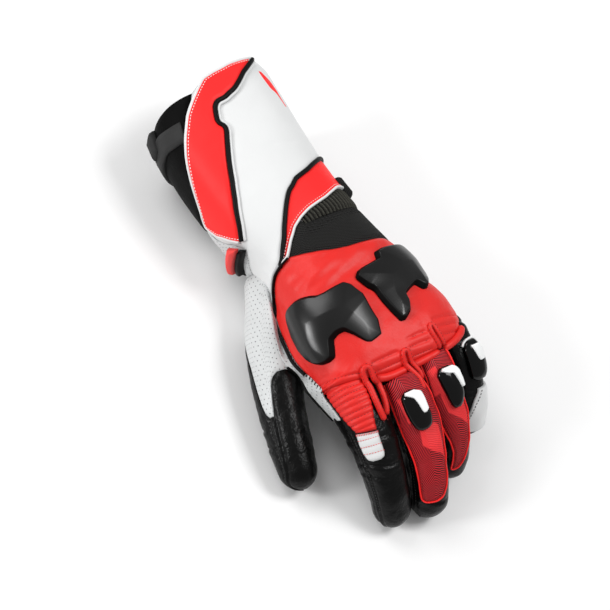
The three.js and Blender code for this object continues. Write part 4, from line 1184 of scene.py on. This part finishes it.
finished(panel("buckle_frame", HAND, [[-84, 0.344, -78, 0.356], [-118, 0.362, -113, 0.377]],
               spacing=0.7, height=2.2, roll=(0, 1), skirt=2,
               profile=swelling(2.4, 0.8)), "plastic", "strap_buckle")
finished(panel("pull_tab_red", HAND, [[-87, 0.326, -79, 0.344], [-119, 0.344, -112, 0.362]],
               spacing=0.7, height=5.0, roll=(0, 1), skirt=1.5,
               profile=swelling(2.8, 2.5)), "tab", "strap_pull_tab")
finished(panel("pull_loop_webbing", HAND, [[58, 0.352, 66, 0.352], [59, 0.408, 67, 0.408]],
               spacing=0.7, height=1.0, roll=(0, 1), skirt=2,
               profile=swelling(3.2, 2.5)), "knit", "pull_loop")

# %% [markdown]
# ## Shells and sliders
# The hard pieces rise from a crisp bevelled rim to a dome. Their height depends only on the
# distance to their edge.


# %% Shells and sliders
def shell_profile(rim, height, dome):
    """A bevelled rim of a width and a height in mm, with a low dome inside it."""
    return lambda distance: height * np.clip(distance / rim, 0, 1) ** 0.9 \
        + dome * (1 - np.exp(-np.clip(distance - rim, 0, None) / 10))


def lengthwise(rows):
    return [[angle, start, angle, end] for angle, start, end in rows]


def level(rows):
    return [[left, along, right, along] for along, left, right in rows]


def bent_lobe(angle, along, points):
    """The lobe over the middle finger bends down beyond a slanted crease."""
    x = points[..., 0] - ORIGIN[0]
    y = points[..., 1] - ORIGIN[1]
    beyond = -(y + 43) + 0.5 * (x + 15)
    return -0.2 * np.clip(beyond, 0, None) * smooth_step(x, -32, -24) - 1.6 * smooth_step(-angle, 68, 86)


SHELL = {"spacing": 0.6, "height": RIDE, "roll": (0, 1), "skirt": 2, "passes": 3}
finished(panel("large_shell", HAND, lengthwise([
    [-88, 0.675, 0.71], [-85, 0.635, 0.735], [-80, 0.612, 0.752], [-72, 0.603, 0.766],
    [-62, 0.603, 0.776], [-54, 0.608, 0.777], [-49, 0.614, 0.762], [-44, 0.620, 0.743],
    [-37, 0.632, 0.740], [-31, 0.634, 0.744], [-27, 0.633, 0.768], [-23, 0.632, 0.812],
    [-19, 0.631, 0.829], [-12, 0.630, 0.829], [-8, 0.645, 0.827], [-4, 0.685, 0.775]]),
    **SHELL, profile=shell_profile(2.2, 4.0, 1.9), relief=bent_lobe), "shell", "knuckle_shell_large")
finished(panel("small_shell", HAND, lengthwise([
    [-3, 0.630, 0.638], [-1, 0.617, 0.662], [0.8, 0.612, 0.692], [1.2, 0.611, 0.75], [1.5, 0.611, 0.824],
    [4, 0.609, 0.830], [10, 0.605, 0.818], [14, 0.602, 0.795],
    [16, 0.582, 0.762], [26, 0.577, 0.748], [32, 0.577, 0.742], [36, 0.577, 0.782],
    [42, 0.577, 0.787], [50, 0.578, 0.765], [58, 0.580, 0.725], [68, 0.592, 0.67],
    [76, 0.605, 0.64]]), **SHELL, profile=shell_profile(1.5, 2.8, 2.4)),
    "shell_small", "knuckle_shell_small")
GUARD = 2 * RIDE + 1.3
for name, loft, low, guard, insert in [
    ("middle", MIDDLE, GUARD,
     [[0.273, -24, -6], [0.283, -34, 0], [0.30, -40, 2], [0.36, -42, 4], [0.42, -39, 6],
      [0.465, -32, 3], [0.482, -26, 0], [0.490, -18, -6]],
     [[0.280, -24, -6], [0.292, -27, 0], [0.304, -20, 1], [0.318, -13, 1], [0.35, -10, 1],
      [0.39, -8, 1], [0.402, -6, -2]]),
    ("ring", RING, GUARD,
     [[0.258, -9, 2], [0.27, -18, 8], [0.29, -24, 13], [0.35, -22, 18], [0.42, -17, 17],
      [0.47, -12, 9], [0.494, -5, 2]],
     [[0.266, -8, 4], [0.278, -12, 10], [0.290, -6, 13], [0.305, 2, 14], [0.34, 5, 15],
      [0.375, 8, 15], [0.385, 10, 14]]),
    ("little", LITTLE, RIDE,
     [[0.262, 2, 24], [0.285, -5, 36], [0.32, -10, 46], [0.38, -11, 54], [0.45, -11, 55],
      [0.50, -9, 49], [0.53, -2, 40], [0.548, 6, 30]],
     [[0.295, 2, 22], [0.33, 4, 30], [0.38, 8, 30], [0.40, 12, 26]]),
]:
    finished(panel(f"{name}_slider", loft, level(guard), spacing=0.55, height=low, roll=(0, 1),
                   skirt=2, passes=3, profile=lambda d: 2.0 * np.clip(d / 0.8, 0, 1) ** 0.6
                   + 1.8 * (1 - np.exp(-np.clip(d - 0.9, 0, None) / 2.2))), "gloss", f"{name}_guard")
    finished(panel(f"{name}_slider_insert", loft, level(insert), spacing=0.45, height=low + 2.9,
                   roll=(0, 1), skirt=1.8, profile=lambda d: 1.5 * np.clip(d / 0.6, 0, 1) ** 0.6),
             "insert", f"{name}_insert")
finished(ribbon("little_slider_outline", LITTLE, [
    [-8, 0.285], [2, 0.258], [26, 0.256], [42, 0.285], [54, 0.33], [60, 0.40], [58, 0.44]],
    tube(0.8, 7), step=0.7, height=RIDE + 0.8), "insert")

# %% [markdown]
# ## Pieces sewn on the fingers
# Ribs of red leather over the index finger, printed overlays on the middle and ring fingers
# with bound edges, and round red welts and rolls at the roots of the fingers.


# %% Pieces sewn on the fingers
def index_ribs(angle, along, points):
    drawn_in = -1.6 * (1 - smooth_step(along, 0.08, 0.24))
    return 0.9 * puffs(along * INDEX.length + 1.2, 3.5, 0.6) + drawn_in


def bound_edge(rows):
    """A line down a net's left side, round its end and up its right side."""
    left = [row[:2] for row in rows]
    right = [row[2:4] for row in rows]
    return left + right[::-1]


INDEX_RED = [
    [-92, 0.09, 4, 0.09], [-88, 0.19, 4, 0.19], [-79, 0.28, 3, 0.28], [-70, 0.352, 0, 0.352],
    [-62, 0.39, -3, 0.40], [-57, 0.420, -6, 0.445],
]
INDEX_CAP = [
    [-57, 0.428, -6, 0.452], [-62, 0.485, -8, 0.505], [-61, 0.55, -9, 0.565],
    [-55, 0.585, -12, 0.590], [-43, 0.598, -22, 0.600],
]
MIDDLE_PRINT = [
    [-62, 0.198, 5, 0.195], [-68, 0.24, 24, 0.245], [-71, 0.33, 33, 0.33], [-72, 0.42, 36, 0.42],
    [-70, 0.50, 35, 0.50], [-60, 0.60, 26, 0.61], [-51, 0.74, 20, 0.76], [-50, 0.86, 14, 0.85],
    [-46, 0.915, 6, 0.905], [-38, 0.93, -8, 0.925],
]
RING_PRINT = [
    [-48, 0.190, 18, 0.170], [-50, 0.26, 24, 0.25], [-56, 0.36, 19, 0.35], [-57, 0.45, 20, 0.46],
    [-52, 0.54, 27, 0.55], [-40, 0.64, 24, 0.66], [-26, 0.72, 18, 0.76], [-18, 0.80, 10, 0.84],
    [-17, 0.95, -2, 0.93],
]
finished(panel("index_ribbed_leather", INDEX, INDEX_RED, spacing=0.6, height=RIDE + 1.0,
               roll=(0.9, 1.0), relief=index_ribs), "red", "index_stretch")
finished(panel("index_white_cap", INDEX, INDEX_CAP, spacing=0.7, height=RIDE + 1.3, roll=(0.7, 0.9),
               relief=lambda a, s, p: 0.35 * puffs(s * INDEX.length, 4.6)), "white", "index_cap")
for name, loft, rows, seed in [("middle", MIDDLE, MIDDLE_PRINT, 11.0), ("ring", RING, RING_PRINT, 12.0)]:
    wavy = leather_rumple(0.35, 8, seed)
    finished(panel(f"{name}_printed_overlay", loft, rows, spacing=0.8, height=RIDE + 1.2,
                   roll=(0.6, 0.9), relief=wavy),
             "print" if name == "middle" else "print_short", f"{name}_overlay")
    finished(ribbon(f"{name}_overlay_binding", loft, bound_edge(rows), tube(0.48, 7), step=0.8,
                    height=RIDE + 1.0, aside=0.6, relief=wavy), "flap")
LITTLE_WHITE = [
    [7, 0.62, 95, 0.62], [-12, 0.75, 110, 0.75], [-26, 0.85, 110, 0.85], [-34, 0.92, 110, 0.92],
    [-30, 1.05, 105, 1.05], [-20, 1.12, 100, 1.12]]
finished(panel("little_white_leather", LITTLE, LITTLE_WHITE, spacing=0.8, height=RIDE + 1.2,
               roll=(0.9, 1.1), relief=leather_rumple(0.3, 8, 13.0)), "white", "little_side_panel")


WELTS = [
    ("index", 1.95, path_of(
        (INDEX, 15, 0.42, 0.4), (INDEX, 10, 0.36, 1.4), (INDEX, 8, 0.29, 1.8), (INDEX, 8, 0.22, 1.8),
        (HAND, -38, 0.985, 1.2), (HAND, -37.5, 0.925, 1.2), (HAND, -36.3, 0.904, 1.2),
        (HAND, -33.5, 0.896, 1.2), (HAND, -30.7, 0.904, 1.2), (HAND, -29.6, 0.93, 1.2),
        (HAND, -30, 0.985, 1.2), (INDEX, 33, 0.22, 1.8), (INDEX, 34, 0.29, 1.8),
        (INDEX, 32, 0.35, 1.4), (INDEX, 27, 0.40, 0.4))),
    ("middle", 1.6, path_of(
        (MIDDLE, 22, 0.30, 0.6), (MIDDLE, 17, 0.24, 1.8), (HAND, -4.6, 0.985, 0.6), (HAND, -4.6, 0.94, 0.8),
        (HAND, -4.3, 0.917, 1), (HAND, -3, 0.907, 1), (HAND, -1.6, 0.917, 1), (HAND, -1.4, 0.94, 0.8),
        (HAND, -1.3, 0.985, 0.6), (MIDDLE, 32, 0.22, 1.6), (MIDDLE, 34, 0.25, 0.6))),
    ("ring", 1.5, path_of(
        (HAND, 18.5, 0.985, -0.6), (HAND, 16.6, 0.95, 0.6), (HAND, 14.4, 0.905, 0.9), (HAND, 13.9, 0.885, 0.9),
        (HAND, 15.6, 0.873, 1.0), (HAND, 17.6, 0.88, 0.9), (HAND, 18.6, 0.90, 0.9), (HAND, 20.8, 0.94, 0.6),
        (HAND, 22.8, 0.968, -0.6))),
]
ROLLS = [
    ("middle", [(-29, 0.972), (-20, 0.992), (-13, 1.0), (-3.5, 1.0)]),
    ("ring", [(-1, 1.0), (6, 1.0), (12, 0.997), (18.5, 0.988)]),
    ("little", [(22, 0.98), (30, 0.967), (40, 0.95), (52, 0.93), (64, 0.91)]),
]
for name, places in ROLLS:
    line = path_of(*[(HAND, angle, along, -1.4) for angle, along in places]) + [0, -1.3, -0.2]
    finished(round_tube(f"{name}_root_roll", line, 2.5), "red")
for name, radius, points in WELTS:
    finished(round_tube(f"{name}_web_tube", points, radius), "red", f"{name}_web_welt")

# %% [markdown]
# ## Stitching
# Rows of thread lie in the seams and along the bound edges. The rib stitches lie in the
# valleys, which are found by the same count that raises the ribs.


# %% Stitching
def valley(number, angles):
    """A line on the hand along one valley between the stitched ribs."""
    line = []
    shares = np.linspace(0.7, 1.0, 61)
    for angle in angles:
        share = float(np.interp(number, rib_count(angle, HAND.skin(angle, shares)), shares))
        inside = rib_zone(np.array(float(angle)), np.array(share)) > 0.4
        if inside and share < min(0.995, float(hand_end(angle)) - 0.012):
            line.append([angle, share])
    return line


seams = []
for first, last, angles in [
    (17, 26, range(-86, -40, 3)), (11, 18, range(-27, -6, 3)), (11, 18, range(0, 12, 3)),
    (11, 18, range(21, 60, 4)),
]:
    for number in range(first, last):
        line = valley(number, angles)
        if len(line) > 2:
            seams.append(seam_on(HAND, line, 1.9, 0, 0.12, back_relief))
for number in range(4, 16):
    share = (number * 3.5 - 1.2) / INDEX.length
    if 0.17 < share < 0.41:
        left = float(np.interp(share, [row[1] for row in INDEX_RED], [row[0] for row in INDEX_RED]))
        seams.append(seam_on(INDEX, [[left + 3, share], [-40, share], [-3, share]], 1.9, 0,
                             RIDE + 1.12, index_ribs))
finished(sew("rib_stitching", seams, 1.2, 0.22), "dark_thread")
finished(sew("flap_stitching", [seam_on(HAND, flap_left, 2.0, -2.2, RIDE + 1.85, cuff_relief)]),
         "white_thread")
finished(sew("back_edge_stitching", [seam_on(HAND, RED_EDGE[4:], 2.6, -0.3, 0.25, back_relief)],
             2.8, 0.38, across=True), "black_thread")
finished(sew("wedge_stitching", [seam_on(HAND, WEDGE_LOW[1:9], 1.9, 2.4, 0.25, cuff_relief)], 1.3, 0.3),
         "pink_thread")
finished(sew("tongue_stitching", [seam_on(HAND, [
    [-80, 0.351], [-92, 0.376], [-105, 0.411], [-110, 0.469], [-110, 0.505], [-108, 0.55]],
    2.0, -1.6, 0.12, cuff_relief)], 1.2, 0.24), "grey_thread")
finished(sew("cap_stitching", [
    seam_on(INDEX, [[-57, share], [-10, share + 0.012]], 1.4, 0, RIDE + 1.25)
    for share in (0.465, 0.505, 0.545)], 1.2, 0.2), "red_thread")
finished(sew("cap_fringe", [seam_on(INDEX, [[-56, 0.432], [-7, 0.455]], 0.9, 0, RIDE + 1.3)], 1.6, 0.24,
             across=True), "red_thread")
finished(sew("overlay_stitching", [
    seam_on(loft, bound_edge(rows), 1.7, -1.0, RIDE + 1.35)
    for loft, rows in ((MIDDLE, MIDDLE_PRINT), (RING, RING_PRINT))], 1.1, 0.2), "dark_thread")
finished(sew("little_stitching", [seam_on(LITTLE, [
    [12, 0.64], [-6, 0.76], [-20, 0.86], [-28, 0.93], [-23, 1.05]], 2.0, 0, RIDE + 1.3)]), "black_thread")
seams = []
for name, radius, points in WELTS:
    line, travel = even_line(points, 2.0)
    side, up = frames_of(line)
    for lean in (-1, 1):
        seams.append((line + side * lean * 0.72 * radius + up * 0.7 * radius, up))
finished(sew("welt_stitching", seams, 1.1, 0.2), "dark_thread")
finished(sew("finger_stitching", [
    seam_on(loft, [[angle, start], [angle, 0.95]], 1.9, aside, 0.0)
    for loft, angle, start in ((INDEX, -80, 0.42), (MIDDLE, -80, 0.4), (INDEX, 72, 0.3),
                               (MIDDLE, 72, 0.4))
    for aside in (-1.5, 1.5)] + [seam_on(THUMB, THUMB_LINE, 1.9, 1.5, 0.0)], 1.2, 0.2), "soft_thread")

# %% [markdown]
# ## Floor, light and camera
# A pale floor, soft lights from above and the photo's view of the glove.

# %% Floor, light and camera
bpy.ops.mesh.primitive_plane_add(size=8)
floor = bpy.context.object
floor.name = "floor"
floor_paint, _, _ = new_material("floor_paint", (0.9, 0.9, 0.9, 1), 0.8)
floor.data.materials.append(floor_paint)


PICTURE = 610           # pixels across the photo
SENSOR = 36
LENS = 100
SIDE_ANGLE = 28         # degrees by which the view leans to the thumb side
DOWN_ANGLE = 16         # and to the fingertips
ROLL = 29
TARGET = Vector((0, 5, 45)) + Vector(ORIGIN)
TARGET_PIXEL = (326, 258)
PIXEL_SIZE = 0.62       # mm across one pixel at the target


def photo_view():
    """The camera's matrix for the photo's view, with the target at its pixel."""
    a, b, r = [math.radians(v) for v in (SIDE_ANGLE, DOWN_ANGLE, ROLL)]
    toward = Vector((-math.sin(a) * math.cos(b), -math.sin(b), math.cos(a) * math.cos(b)))
    level_up = (Vector((0, 1, 0)) - toward * toward.y).normalized()
    level_right = level_up.cross(toward)
    up = math.cos(r) * level_up + math.sin(r) * level_right
    right = -math.sin(r) * level_up + math.cos(r) * level_right
    distance = LENS / SENSOR * PICTURE * PIXEL_SIZE
    off = [(pixel - PICTURE / 2) * PIXEL_SIZE for pixel in TARGET_PIXEL]
    place = TARGET + toward * distance - right * off[0] + up * off[1]
    matrix = Matrix((right, up, toward)).transposed().to_4x4()
    matrix.translation = place * MM
    return matrix


bpy.ops.object.camera_add()
camera = bpy.context.object
camera.data.lens = LENS
camera.data.sensor_width = SENSOR
camera.matrix_world = photo_view()
bpy.context.scene.camera = camera


LIT = Vector((0.0, 0.0, 0.03))


def area_light(name, place, size, power):
    bpy.ops.object.light_add(type="AREA", location=place)
    light = bpy.context.object
    light.name = name
    light.data.size = size
    light.data.energy = power
    away = Vector(place) - LIT
    light.rotation_euler = away.to_track_quat("Z", "Y").to_euler()


area_light("key", (-0.5, 1.1, 1.2), 0.8, 9.5)
area_light("left", (-1.2, 0.30, 0.66), 0.3, 8)
area_light("right", (0.60, -0.17, 1.27), 0.5, 9.5)
world = bpy.data.worlds.new("studio")
world.use_nodes = True
world.node_tree.nodes["Background"].inputs["Color"].default_value = (1, 1, 1, 1)
world.node_tree.nodes["Background"].inputs["Strength"].default_value = 0.41
bpy.context.scene.world = world
bpy.context.scene.view_settings.view_transform = "Standard"
